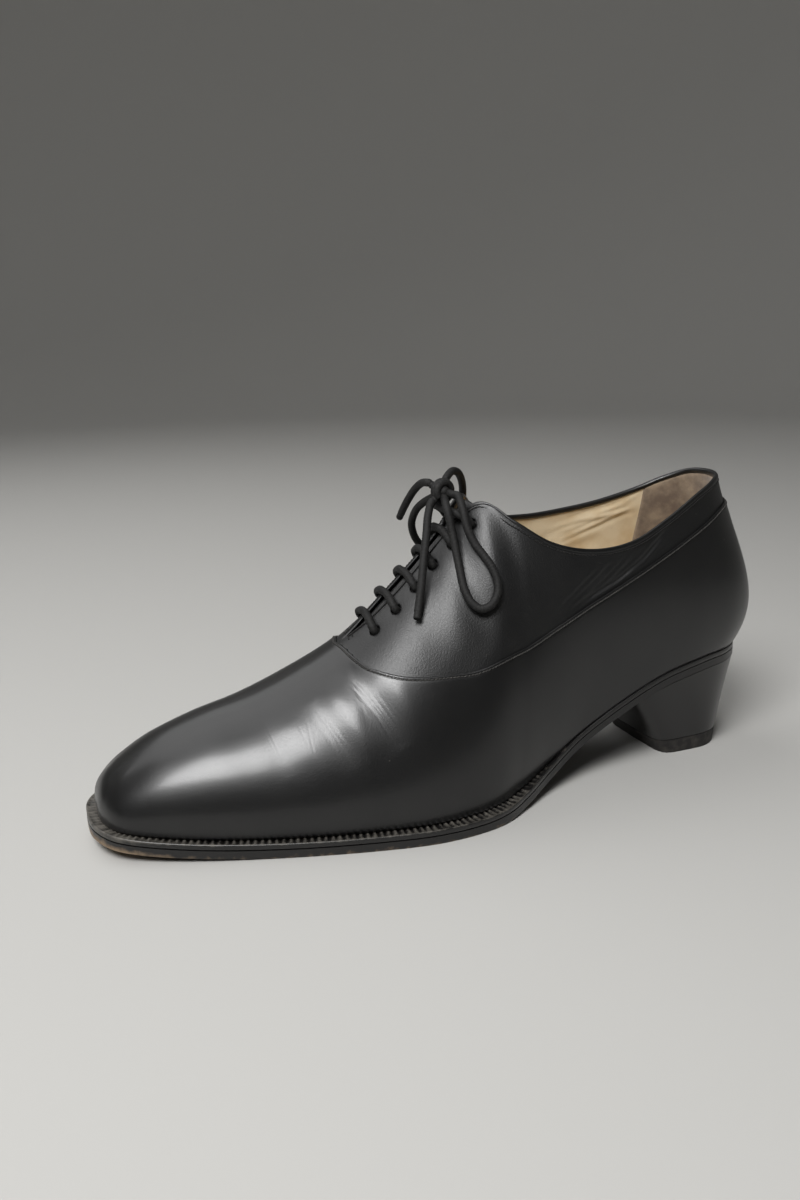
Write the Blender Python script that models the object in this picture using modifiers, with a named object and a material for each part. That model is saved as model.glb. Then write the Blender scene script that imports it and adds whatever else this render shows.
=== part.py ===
"""Women's closed-lacing leather shoe on a tapered block heel: a left shoe, modelled in metres.

The toe points along +X, the outer (lateral) side of the foot along +Y, and the sole stands on Z = 0.
Every shape is read from one last: a table of sections round the foot, each one a curved rib that runs
from the feather line, where the upper meets the sole, to the top edge or to the ridge of the vamp.
"""

import math

import bmesh
import bpy
import numpy as np

MM = 0.001

# Driving dimensions of the last and of the heel
LAST_LENGTH = 256.8 * MM
BALL_WIDTH = 79.4 * MM
INSTEP_HEIGHT = 105.7 * MM
HEEL_SEAT_HEIGHT = 41.3 * MM
HEEL_TIP_LENGTH = 32.6 * MM
HEEL_TIP_WIDTH = 38.6 * MM

# Thickness of each layer, and the gap that pieces keep where they meet
GAP = 0.3 * MM
UPPER_WALL = 1.8 * MM
WELT_THICKNESS = 1.9 * MM
OUTSOLE_THICKNESS = 2.8 * MM
INSOLE_THICKNESS = 2.6 * MM
TONGUE_THICKNESS = 1.8 * MM
TOP_PIECE_THICKNESS = 6.0 * MM
SOLE_STACK = OUTSOLE_THICKNESS + WELT_THICKNESS + 2 * GAP

# How far the hidden edges of welt and insole lie inside the feather line
WELT_TUCK = 4.5 * MM
INSOLE_INSET = UPPER_WALL + 0.5 * MM

# Lacing: six pairs of eyelets, measured from the base of the throat along the facing edge
LACE_DIAMETER = 2.8 * MM
FIRST_EYELET = 12.0 * MM
EYELET_PITCH = 9.95 * MM
EYELET_INSETS = (9.8 * MM, 7.0 * MM)
LACE_BARS = 5
KNOT_CENTRE = np.array((126.8, -0.6, 108.6)) * MM
KNOT_RADII = np.array((4.4, 4.8, 4.4)) * MM
LACE_CLEARANCE = 0.5 * MM
CROSSING_ARCH = 1.25
BAR_POINTS = 5

# Sections of the last, from the heel back to the toe. In per cent: foot and top of LAST_LENGTH from the
# heel bulge, lateral, medial and top sides of BALL_WIDTH, seat of the rise from ball to heel seat, heights
# of INSTEP_HEIGHT. In millimetres: the welt's margin, and the rib's handles (rise and lean at the feather
# line, reach and drop at the top).
SECTION_COLUMNS = (
    "section", "foot", "lateral", "medial", "seat", "margin",
    "top", "top_lateral", "top_medial", "height_lateral", "height_medial",
    "rise", "lean_lateral", "lean_medial", "reach", "drop",
)
SECTIONS = (
    ("heel back", 2.2, 0.0, 0.0, 100.0, 0.5, 6.3, 0.0, 0.0, 102.8, 102.8, 20, 15.0, 15.0, 7.0, 28),
    ("heel curve", 3.3, 14.9, -14.9, 100.0, 0.5, 7.2, 12.0, -12.0, 102.4, 101.8, 20, 13.0, 13.0, 7.0, 28),
    ("heel corner", 7.0, 25.4, -25.4, 100.0, 0.5, 10.1, 20.9, -20.9, 100.9, 98.4, 22, 9.5, 9.5, 6.0, 26),
    ("heel side", 12.8, 31.0, -29.7, 98.1, 0.5, 14.0, 26.2, -26.7, 97.6, 94.2, 24, 6.5, 6.5, 5.0, 24),
    ("seat", 19.9, 32.5, -29.7, 87.5, 0.5, 19.9, 30.5, -31.0, 90.8, 90.2, 26, 6.0, 5.0, 4.5, 22),
    ("ankle", 26.9, 32.2, -27.7, 65.8, 0.6, 26.1, 33.2, -33.2, 84.8, 88.0, 28, 6.5, 5.0, 5.0, 22),
    ("shank", 33.9, 32.7, -26.2, 39.7, 0.9, 32.3, 33.0, -33.0, 83.4, 87.2, 32, 7.0, 7.0, 6.0, 22),
    ("waist", 40.1, 36.8, -27.0, 16.4, 2.2, 38.4, 30.2, -30.2, 86.7, 88.9, 34, 7.0, 10.0, 8.0, 22),
    ("arch end", 45.6, 44.1, -29.5, 4.4, 3.8, 43.4, 23.3, -23.3, 94.4, 95.6, 34, 6.0, 10.0, 10.0, 20),
    ("facing top", 50.2, 50.9, -33.5, 1.1, 4.6, 47.1, 10.1, -10.1, 99.9, 100.1, 32, 5.0, 9.0, 15.0, 8),
    ("instep", 54.9, 54.0, -37.5, 0.0, 4.6, 52.4, 2.0, -2.0, 87.2, 87.2, 28, 4.0, 7.5, 19.0, 3),
    ("lateral joint", 60.4, 54.4, -41.8, 0.0, 4.2, 59.6, 2.0, -2.0, 69.9, 69.9, 25, 3.0, 5.5, 21.0, 1.5),
    ("throat base", 66.6, 51.1, -44.8, 0.0, 3.8, 66.0, 0.0, 0.0, 57.0, 57.0, 23, 2.5, 4.0, 20.5, 1),
    ("medial joint", 73.6, 45.6, -45.6, 0.0, 3.5, 72.8, -1.9, -1.9, 47.9, 47.9, 21, 2.5, 2.5, 19.0, 1),
    ("tread", 80.6, 39.0, -43.6, 0.8, 3.3, 79.4, -3.1, -3.1, 41.2, 41.2, 19, 2.0, 2.0, 18.0, 1),
    ("toes", 87.6, 31.7, -39.4, 3.1, 3.2, 85.7, -4.0, -4.0, 37.2, 37.2, 17, 2.0, 2.0, 16.0, 1),
    ("toe box", 93.8, 23.9, -32.7, 6.7, 3.2, 90.7, -4.7, -4.7, 33.3, 33.3, 14, 2.0, 2.0, 13.0, 1),
    ("toe corner", 97.9, 16.4, -25.8, 10.0, 3.3, 93.8, -5.0, -5.0, 29.9, 29.9, 11, 2.0, 2.0, 9.0, 1),
    ("toe curve", 99.7, 6.3, -16.1, 11.7, 3.5, 95.4, -5.0, -5.0, 27.6, 27.6, 10, 1.5, 1.5, 7.0, 1),
    ("toe tip", 100.0, -4.8, -4.8, 12.1, 3.6, 95.9, -5.0, -5.0, 26.9, 26.9, 10, 1.5, 1.5, 6.5, 1),
)
TOE_ROW = len(SECTIONS) - 1
ROUND = 2 * TOE_ROW
THROAT_ROW = 12
FACING_TOP_ROW = 9
HEEL_BULGE_X = -3.0 * MM

# The vamp's ribs start to follow the fall of its ridge at the first length and do so fully at the second
RIDGE_FOLLOW = (170.0 * MM, 230.0 * MM)
STEEPEST_RIDGE = -1.2

# Mesh density: columns for each section of upper and sole, rows up a rib, strips across a plate
UPPER_COLUMNS = 2
SOLE_COLUMNS = 3
RIB_ROWS = 11
PLATE_STRIPS = 2
HEEL_CUTS = 9
TOP_PIECE_CUTS = 9
KNOT_SEGMENTS = (14, 9)
WELD = 0.01 * MM

# Small step for slopes, and how finely a curve is read when a length or a height is looked up on it
STEP = 0.001
CURVE_STEPS = 40

# Heel block: lengths at the bottom and under the outsole, and how its outline is shaped
HEEL_TIP_BACK = 9.4 * MM
HEEL_TOP_BACK = 2.6 * MM
HEEL_TOP_FRONT = 60.0 * MM
HEEL_SIDE_CURVE = 1.2
HEEL_BACK_POWER = 2.2
HEEL_BREAST_POWER = 7.0
HEEL_INSET = 0.2 * MM

# Tongue: sections that it spans under the facings, its width down the rib and its length above the facings
TONGUE_ROWS = (13.0, 9.5)
TONGUE_EDGE = 8.0 / 11.0
TONGUE_RISE = 7.5 * MM
TONGUE_CLEARANCE = 0.5 * MM
TONGUE_BANDS = 9
TONGUE_STRIPS = 8

# Routes of the bow's cords past the knot, in millimetres from the heel end of the last. A loop leaves the
# knot towards its first point and comes back to it from its last one.
LOOP_LATERAL = (
    (124.6, 7.6, 107.8), (125.1, 12.2, 103.8), (125.0, 15.4, 98.2), (123.7, 17.9, 93.4), (121.8, 21.0, 89.6),
    (120.1, 24.3, 85.7), (119.3, 26.7, 81.5), (120.1, 28.4, 77.3), (122.8, 29.3, 74.0), (126.2, 28.5, 72.9),
    (128.8, 26.0, 75.0), (129.8, 22.6, 79.3), (129.5, 18.8, 84.5), (129.2, 15.3, 90.2), (129.2, 12.4, 96.0),
    (129.6, 9.4, 103.2),
)
LOOP_MEDIAL = (
    (123.6, -4.4, 112.8), (120.0, -7.4, 114.4), (115.8, -11.2, 113.0), (112.2, -15.6, 108.8),
    (109.8, -20.0, 103.4), (108.9, -23.6, 97.4), (110.0, -26.4, 91.0), (112.8, -28.0, 85.8),
    (117.0, -28.2, 82.8), (121.6, -27.2, 82.6), (125.8, -25.4, 85.2), (129.0, -23.0, 89.6),
    (130.8, -20.0, 94.6), (130.9, -15.6, 99.8), (129.9, -10.6, 103.4),
)
END_LATERAL = (
    (132.4, 1.2, 104.8), (134.6, 3.7, 100.8), (136.2, 6.2, 96.4), (137.8, 8.6, 92.2), (139.5, 10.9, 87.8),
    (141.3, 13.7, 82.9), (143.0, 16.1, 78.0), (144.6, 18.0, 73.5), (146.5, 20.6, 69.6),
)
END_MEDIAL = (
    (130.6, -4.9, 111.4), (131.2, -9.5, 110.6), (131.8, -14.5, 107.6), (132.2, -19.3, 103.6),
    (132.4, -23.8, 99.4), (132.3, -28.6, 94.8),
)
CORD_SPACING = 3.6 * MM
BAR_SPACING = 2.4 * MM
BEVEL_RESOLUTION = 2

# Finishes: linear base colour, roughness
VAMP_LEATHER = ((0.012, 0.012, 0.013), 0.28)
SOLE_LEATHER = ((0.020, 0.017, 0.015), 0.45)
WELT_LEATHER = ((0.030, 0.028, 0.027), 0.38)
HEEL_STACK = ((0.014, 0.013, 0.013), 0.35)
TOP_PIECE_RUBBER = ((0.045, 0.042, 0.040), 0.70)
LINING_LEATHER = ((0.420, 0.270, 0.160), 0.60)
LACE_COTTON = ((0.025, 0.025, 0.027), 0.75)


def column(name):
    """One column of the section table."""
    place = SECTION_COLUMNS.index(name)
    return np.array([row[place] for row in SECTIONS], float)


def around(lateral, medial):
    """Two half lists joined into one that runs heel, lateral side, toe, medial side."""
    return np.concatenate([lateral, medial[-2:0:-1]])


def scaled_sections():
    """The section table in metres, as lists that close round the foot."""
    rise_of_seat = HEEL_SEAT_HEIGHT - SOLE_STACK
    foot = HEEL_BULGE_X + column("foot") / 100 * LAST_LENGTH
    seat = SOLE_STACK + column("seat") / 100 * rise_of_seat
    top = HEEL_BULGE_X + column("top") / 100 * LAST_LENGTH
    side_names = ("lateral", "medial", "top_lateral", "top_medial")
    height_names = ("height_lateral", "height_medial")
    sides = {name: column(name) / 100 * BALL_WIDTH for name in side_names}
    heights = {name: column(name) / 100 * INSTEP_HEIGHT for name in height_names}
    lists = {
        "foot_x": around(foot, foot),
        "foot_y": around(sides["lateral"], sides["medial"]),
        "foot_z": around(seat, seat),
        "top_x": around(top, top),
        "top_y": around(sides["top_lateral"], sides["top_medial"]),
        "top_z": around(heights["height_lateral"], heights["height_medial"]),
        "lean": around(column("lean_lateral"), column("lean_medial")) * MM,
    }
    for name in ("rise", "reach", "drop", "margin"):
        lists[name] = around(column(name), column(name)) * MM
    return lists


LAST = scaled_sections()


def curve_value(values, s):
    """Smooth value at section number s of a list that closes on itself (Catmull-Rom)."""
    first = np.floor(s).astype(int)
    t = s - first
    before, start, end, after = (values[(first + step) % len(values)] for step in (-1, 0, 1, 2))
    bend = 2 * before - 5 * start + 4 * end - after
    twist = 3 * start - before - 3 * end + after
    return 0.5 * (2 * start + (end - before) * t + bend * t**2 + twist * t**3)


def point_at(s, part):
    """Foot or top point of the rib at section number s."""
    return np.stack([curve_value(LAST[part + axis], s) for axis in ("_x", "_y", "_z")], -1)


def top_point(s):
    """Top of a rib. From the throat to the toe both sides share the vamp's ridge."""
    own = point_at(s, "top")
    shared = (own + point_at(ROUND - s, "top")) / 2
    row = np.minimum(s % ROUND, ROUND - s % ROUND)
    return np.where((row >= THROAT_ROW)[:, None], shared, own)


def foot_point(s):
    """Point of the feather line, never lower than the sole's thickness."""
    point = point_at(s, "foot")
    point[:, 2] = np.maximum(point[:, 2], SOLE_STACK)
    return point


def outward(s):
    """Level direction that points out of the foot, square to the feather line."""
    run = point_at(s + STEP, "foot") - point_at(s - STEP, "foot")
    flat = np.stack([-run[:, 1], run[:, 0], np.zeros(len(run))], -1)
    return flat / np.linalg.norm(flat, axis=1)[:, None]


def ridge_fall(s):
    """Slope of the vamp's ridge at section number s, held just short of the toe tip."""
    row = np.minimum(np.minimum(s % ROUND, ROUND - s % ROUND), TOE_ROW - 0.5)
    run = top_point(row + STEP) - top_point(row - STEP)
    return np.clip(run[:, 2] / np.maximum(run[:, 0], WELD * STEP), STEEPEST_RIDGE, 0)


def upper_point(s, h):
    """Outer surface of the upper: s goes round in sections, h from the feather line (0) to the top (1)."""
    s, h = np.broadcast_arrays(np.atleast_1d(np.asarray(s, float)), np.asarray(h, float))
    foot, top, out = foot_point(s), top_point(s), outward(s)
    handles = ("lean", "rise", "reach", "drop")
    lean, rise, reach, drop = (curve_value(LAST[name], s)[:, None] for name in handles)
    follow = np.clip((foot[:, 0] - RIDGE_FOLLOW[0]) / (RIDGE_FOLLOW[1] - RIDGE_FOLLOW[0]), 0, 1)
    slope = (ridge_fall(s) * follow * out[:, 0])[:, None]
    up = np.array((0.0, 0.0, 1.0))
    low_handle = foot + out * lean + up * rise
    high_handle = top + out * reach + up * (slope * reach - drop)
    t = h[:, None]
    low_half = (1 - t)**3 * foot + 3 * (1 - t)**2 * t * low_handle
    high_half = 3 * (1 - t) * t**2 * high_handle + t**3 * top
    return low_half + high_half


def upper_normal(s, h):
    """Unit normal of the upper's outer surface, pointing out."""
    s, h = np.broadcast_arrays(np.atleast_1d(np.asarray(s, float)), np.asarray(h, float))
    inner, outer = np.clip(h - STEP, 0, 1), np.clip(h + STEP, 0, 1)
    along = upper_point(s + STEP, h) - upper_point(s - STEP, h)
    upward = upper_point(s, outer) - upper_point(s, inner)
    normal = np.cross(upward, along)
    return normal / np.linalg.norm(normal, axis=1)[:, None]


def sole_edge(s, offset=None):
    """Plan outline at a distance outside the feather line: by default the welt's margin."""
    margin = curve_value(LAST["margin"], s) if offset is None else np.full(len(s), offset)
    return foot_point(s) + outward(s) * margin[:, None]


def feather_profile():
    """Height of the feather line against length, carried on straight past both ends."""
    line = foot_point(np.linspace(0, TOE_ROW, CURVE_STEPS * TOE_ROW + 1))
    toe_box = line[-2 * CURVE_STEPS - 1]
    run = line[-1] - toe_box
    past_heel, past_toe = line[0].copy(), line[-1] + run
    past_heel[0] -= run[0]
    x, _, z = np.vstack([past_heel, line[:-CURVE_STEPS], line[-1], past_toe]).T
    return x, z


PROFILE_X, PROFILE_Z = feather_profile()


def feather_height(x):
    """Height of the feather line at length x."""
    return np.interp(x, PROFILE_X, PROFILE_Z)


def frame_origin():
    """Bottom centre of the shoe's box, measured on the last."""
    back = upper_point(0.0, np.linspace(0, 1, RIB_ROWS + 1))[:, 0].min()
    edge = sole_edge(np.linspace(0, ROUND, ROUND * SOLE_COLUMNS + 1))
    centre_x = (back + edge[:, 0].max()) / 2
    centre_y = (edge[:, 1].min() + edge[:, 1].max()) / 2
    return np.array((centre_x, centre_y, 0.0))


ORIGIN = frame_origin()


def clear_scene():
    """Start from an empty scene."""
    for thing in list(bpy.data.objects):
        bpy.data.objects.remove(thing, do_unlink=True)


def finish_material(name, finish):
    """Principled material of one colour and roughness."""
    colour, roughness = finish
    material = bpy.data.materials.new(name)
    material.use_nodes = True
    shader = material.node_tree.nodes["Principled BSDF"]
    shader.inputs["Base Color"].default_value = (*colour, 1.0)
    shader.inputs["Roughness"].default_value = roughness
    shader.inputs["Metallic"].default_value = 0.0
    material.diffuse_color = (*colour, 1.0)
    return material


def add_object(name, data, finish, root):
    """Put a mesh or curve in the shoe's collection, under its root empty."""
    piece = bpy.data.objects.new(name, data)
    data.materials.append(finish_material(name + "_finish", finish))
    bpy.data.collections["shoe"].objects.link(piece)
    piece.parent = root
    return piece


def mesh_object(name, bm, finish, root, crease_angle=40):
    """Turn a bmesh into a smooth-shaded object with sharp edges kept."""
    mesh = bpy.data.meshes.new(name)
    bm.to_mesh(mesh)
    bm.free()
    mesh.shade_smooth()
    mesh.set_sharp_from_angle(angle=math.radians(crease_angle))
    return add_object(name, mesh, finish, root)


def set_points(bm, points):
    """Move every vertex to its place in the shoe's frame and weld what meets."""
    for vertex, point in zip(bm.verts, points - ORIGIN):
        vertex.co = point
    bmesh.ops.remove_doubles(bm, verts=bm.verts, dist=WELD)


def shaped_grid(point, columns, rows):
    """A grid whose two directions u and v, each 0 to 1, are laid on a surface."""
    bm = bmesh.new()
    bmesh.ops.create_grid(bm, x_segments=columns, y_segments=rows, size=0.5)
    flat = np.array([vertex.co for vertex in bm.verts]) + 0.5
    set_points(bm, point(flat[:, 0], flat[:, 1]))
    return bm


def shaped_block(point, cuts):
    """A cut-up cube whose three directions, each 0 to 1, are laid in a solid shape."""
    bm = bmesh.new()
    bmesh.ops.create_cube(bm, size=1.0)
    bmesh.ops.subdivide_edges(bm, edges=bm.edges, cuts=cuts, use_grid_fill=True)
    cube = np.array([vertex.co for vertex in bm.verts]) + 0.5
    set_points(bm, point(cube[:, 0], cube[:, 1], cube[:, 2]))
    bmesh.ops.recalc_face_normals(bm, faces=bm.faces)
    return bm


def slab(name, point, columns, rows, thickness, finish, root):
    """A plate: a shaped grid given an even thickness downwards."""
    bm = shaped_grid(point, columns, rows)
    grown = bmesh.ops.extrude_face_region(bm, geom=bm.faces[:])
    lower = [item for item in grown["geom"] if isinstance(item, bmesh.types.BMVert)]
    bmesh.ops.translate(bm, verts=lower, vec=(0.0, 0.0, -thickness))
    bmesh.ops.recalc_face_normals(bm, faces=bm.faces)
    return mesh_object(name, bm, finish, root)


def wall(piece, thickness):
    """Give an open surface a wall on its inner side."""
    modifier = piece.modifiers.new("Wall", "SOLIDIFY")
    modifier.thickness = thickness
    modifier.offset = -1.0
    modifier.use_even_offset = True
    modifier.use_quality_normals = True


def build_upper(root):
    """One hollow wall, open at the collar, down the throat and underneath."""
    def point(u, v):
        return upper_point(ROUND * (1 - u), v)

    bm = shaped_grid(point, ROUND * UPPER_COLUMNS, RIB_ROWS)
    wall(mesh_object("upper", bm, VAMP_LEATHER, root), UPPER_WALL)


def across(u, v, offset, height):
    """Point of a plate under the foot: u from heel to toe, v from the medial edge to the lateral edge."""
    lateral = sole_edge(TOE_ROW * u, offset)
    medial = sole_edge((ROUND - TOE_ROW * u) % ROUND, offset)
    plan = medial + (lateral - medial) * v[:, None]
    plan[:, 2] = feather_height(plan[:, 0]) + height
    return plan


def build_sole(root):
    """Outsole plate, welt strip round it and insole plate, stacked with even gaps."""
    columns = TOE_ROW * SOLE_COLUMNS
    outsole_top = OUTSOLE_THICKNESS - SOLE_STACK

    def outsole(u, v):
        return across(u, v, None, outsole_top)

    def insole(u, v):
        return across(u, v, -INSOLE_INSET, INSOLE_THICKNESS)

    def welt(u, v):
        s = ROUND * u
        inner, outer = sole_edge(s, -WELT_TUCK), sole_edge(s)
        plan = inner + (outer - inner) * v[:, None]
        plan[:, 2] = feather_height(plan[:, 0]) - GAP
        return plan

    slab("outsole", outsole, columns, PLATE_STRIPS, OUTSOLE_THICKNESS, SOLE_LEATHER, root)
    slab("insole", insole, columns, PLATE_STRIPS, INSOLE_THICKNESS, LINING_LEATHER, root)
    slab("welt", welt, ROUND * SOLE_COLUMNS, 1, WELT_THICKNESS, WELT_LEATHER, root)


def heel_width(share):
    """Width of the heel's outline at a share of its length: round at the back, squarer at the breast."""
    centred = 2 * share - 1
    power = np.where(centred < 0, HEEL_BACK_POWER, HEEL_BREAST_POWER)
    return (1 - np.abs(centred)**power)**(1 / power)


def heel_point(along, side, level):
    """Point of the heel block: along from back to breast, side medial to lateral, level floor to seat."""
    share = (1 - np.cos(np.pi * along)) / 2
    edge_s = np.linspace(0, THROAT_ROW, CURVE_STEPS * THROAT_ROW + 1)
    lateral_edge = sole_edge(edge_s)
    medial_edge = sole_edge((ROUND - edge_s) % ROUND)
    top_x = HEEL_TOP_BACK + (HEEL_TOP_FRONT - HEEL_TOP_BACK) * share
    front = np.where(share > 0.5, heel_width(share), 1.0)
    top_lateral = (np.interp(top_x, lateral_edge[:, 0], lateral_edge[:, 1]) - HEEL_INSET) * front
    top_medial = (np.interp(top_x, medial_edge[:, 0], medial_edge[:, 1]) + HEEL_INSET) * front
    closed = share > 0
    top_y = np.where(closed, top_medial + (top_lateral - top_medial) * side, 0.0)
    tip_x = HEEL_TIP_BACK + HEEL_TIP_LENGTH * share
    tip_y = HEEL_TIP_WIDTH * heel_width(share) * (side - 0.5)
    top_z = feather_height(top_x) - SOLE_STACK - GAP
    blend = level**HEEL_SIDE_CURVE
    return np.stack([tip_x + (top_x - tip_x) * blend, tip_y + (top_y - tip_y) * blend, top_z * level], -1)


def build_heel(root):
    """Tapered heel block and the rubber top piece that it stands on."""
    def flat_level(along, side, height):
        """Point of the heel at a true height, on its own taper."""
        seat = heel_point(along, side, np.ones_like(along))[:, 2]
        return heel_point(along, side, height / seat)

    def block(along, side, level):
        low = TOP_PIECE_THICKNESS + GAP
        seat = heel_point(along, side, np.ones_like(along))[:, 2]
        return flat_level(along, side, low + (seat - low) * level)

    def top_piece(along, side, level):
        return flat_level(along, side, TOP_PIECE_THICKNESS * level)

    mesh_object("heel", shaped_block(block, HEEL_CUTS), HEEL_STACK, root)
    mesh_object("top_piece", shaped_block(top_piece, TOP_PIECE_CUTS), TOP_PIECE_RUBBER, root)


def tongue_point(u, v):
    """Tongue under the facings: u from its medial to its lateral edge, v from the vamp up past the facings."""
    bottom, top = TONGUE_ROWS
    bands = v * TONGUE_BANDS
    last_band = TONGUE_BANDS - 1
    row = bottom + (top - bottom) * np.minimum(bands / last_band, 1.0)
    depth = UPPER_WALL + TONGUE_CLEARANCE
    swing = np.abs(2 * u - 1)
    h = 1 - (1 - TONGUE_EDGE) * swing
    lateral = upper_point(row, h) - upper_normal(row, h) * depth
    medial = upper_point(ROUND - row, h) - upper_normal(ROUND - row, h) * depth
    middle = (lateral + medial) / 2
    sheet = np.where((u > 0.5)[:, None], lateral, medial)
    sheet = np.where((swing < WELD)[:, None], middle, sheet)
    past = np.maximum(bands - last_band, 0.0)[:, None]
    climb = np.array((-1.0, 0.0, 1.0)) / math.sqrt(2)
    return sheet + climb * past * TONGUE_RISE


def build_tongue(root):
    """Leather tongue with its end standing above the facings."""
    bm = shaped_grid(tongue_point, TONGUE_STRIPS, TONGUE_BANDS)
    wall(mesh_object("tongue", bm, VAMP_LEATHER, root), TONGUE_THICKNESS)


def smooth_route(points, spacing):
    """Evenly spaced points of a smooth curve through a route's own points."""
    points = np.asarray(points, float)
    ends = np.vstack([2 * points[0] - points[1], points, 2 * points[-1] - points[-2]])
    s = np.linspace(1, len(points), CURVE_STEPS * len(points), endpoint=False)
    fine = np.stack([curve_value(np.append(axis, axis[-1]), s) for axis in ends.T], -1)
    fine = np.vstack([fine, points[-1]])
    length = np.concatenate([[0.0], np.cumsum(np.linalg.norm(np.diff(fine, axis=0), axis=1))])
    count = max(int(round(length[-1] / spacing)), 3)
    even = np.linspace(0, length[-1], count + 1)
    return np.stack([np.interp(even, length, axis) for axis in fine.T], -1)


def tube(name, route, root):
    """Round cord along a route given in metres on the last."""
    curve = bpy.data.curves.new(name, "CURVE")
    curve.dimensions = "3D"
    curve.bevel_depth = LACE_DIAMETER / 2
    curve.bevel_resolution = BEVEL_RESOLUTION
    curve.use_fill_caps = True
    spline = curve.splines.new("POLY")
    spline.points.add(len(route) - 1)
    for place, point in zip(spline.points, route - ORIGIN):
        place.co = (*point, 1.0)
    add_object(name, curve, LACE_COTTON, root)


def facing_row(distance):
    """Section number at a distance along the facing edge from the base of the throat."""
    rows = np.linspace(THROAT_ROW, FACING_TOP_ROW, CURVE_STEPS * (THROAT_ROW - FACING_TOP_ROW) + 1)
    edge = top_point(rows)
    length = np.concatenate([[0.0], np.cumsum(np.linalg.norm(np.diff(edge, axis=0), axis=1))])
    return float(np.interp(distance, length, rows))


def eyelet_heights(row, inset, count):
    """Places down a rib from the facing edge to its eyelet, evenly spaced along the leather."""
    h = np.linspace(1, 0, CURVE_STEPS * RIB_ROWS + 1)
    rib = upper_point(np.full(len(h), row), h)
    length = np.concatenate([[0.0], np.cumsum(np.linalg.norm(np.diff(rib, axis=0), axis=1))])
    return np.interp(np.linspace(0, inset, count), length, h)


def bar_route(pair):
    """Lace across one pair of eyelets, lying on both facings. Pairs are nearer the edge towards the top."""
    row = facing_row(FIRST_EYELET + EYELET_PITCH * pair)
    lowest, highest = EYELET_INSETS
    inset = lowest + (highest - lowest) * pair / LACE_BARS
    lift = LACE_DIAMETER / 2 + LACE_CLEARANCE
    h = eyelet_heights(row, inset, BAR_POINTS)
    sides = []
    for side_row in (row, ROUND - row):
        rows = np.full(len(h), side_row)
        sides.append(upper_point(rows, h) + upper_normal(rows, h) * lift)
    lateral, medial = sides
    return np.vstack([lateral[::-1], medial])


def build_lacing(root):
    """Straight bars over the facings, and the raised bar at the top eyelets that carries the knot."""
    for pair in range(LACE_BARS):
        tube(f"lace_bar_{pair + 1}", smooth_route(bar_route(pair), BAR_SPACING), root)
    crossing = bar_route(LACE_BARS)
    seat = KNOT_CENTRE - np.array((0.0, 0.0, KNOT_RADII[2] + LACE_DIAMETER / 2 + GAP))
    swing = np.abs(np.linspace(-1, 1, len(crossing)))[:, None]
    middle = crossing[len(crossing) // 2 - 1:len(crossing) // 2 + 1].mean(axis=0)
    route = crossing + (seat - middle) * (1 - swing**CROSSING_ARCH)
    tube("lace_crossing", smooth_route(route, BAR_SPACING), root)


def at_knot(point):
    """Place beside the knot where a cord that heads for a point leaves it."""
    heading = point - KNOT_CENTRE
    heading = heading / np.linalg.norm(heading)
    surface = 1 / np.linalg.norm(heading / KNOT_RADII)
    return KNOT_CENTRE + heading * (surface + 2 * GAP)


def build_bow(root):
    """Knot, two loops and two ends of the bow."""
    bm = bmesh.new()
    bmesh.ops.create_uvsphere(bm, u_segments=KNOT_SEGMENTS[0], v_segments=KNOT_SEGMENTS[1], radius=1.0)
    sphere = np.array([vertex.co for vertex in bm.verts])
    set_points(bm, sphere * KNOT_RADII + KNOT_CENTRE)
    mesh_object("lace_knot", bm, LACE_COTTON, root)
    for name, points in (("lace_loop_lateral", LOOP_LATERAL), ("lace_loop_medial", LOOP_MEDIAL)):
        route = np.array(points) * MM
        route = np.vstack([at_knot(route[0]), route, at_knot(route[-1])])
        tube(name, smooth_route(route, CORD_SPACING), root)
    for name, points in (("lace_end_lateral", END_LATERAL), ("lace_end_medial", END_MEDIAL)):
        route = np.array(points) * MM
        tube(name, smooth_route(np.vstack([at_knot(route[0]), route]), CORD_SPACING), root)


def main():
    """Build every piece under one empty at the shoe's origin."""
    clear_scene()
    shoe = bpy.data.collections.new("shoe")
    bpy.context.scene.collection.children.link(shoe)
    root = bpy.data.objects.new("shoe_root", None)
    shoe.objects.link(root)
    build_upper(root)
    build_sole(root)
    build_heel(root)
    build_tongue(root)
    build_lacing(root)
    build_bow(root)


main()
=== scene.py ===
"""Looks of a women's closed-lacing leather shoe on a tapered block heel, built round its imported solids.

The file is laid out as an add-on: settings, one operator for each piece or group of like pieces, and a
panel that lists them. Run as a script, it makes every piece in turn. It is a left shoe: the toe points
along +X, the outer (lateral) side along +Y, and it stands on Z = 0. Sizes are in metres.
"""

import math

import bmesh
import bpy
import numpy as np
from mathutils import Matrix, Vector, kdtree


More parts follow.
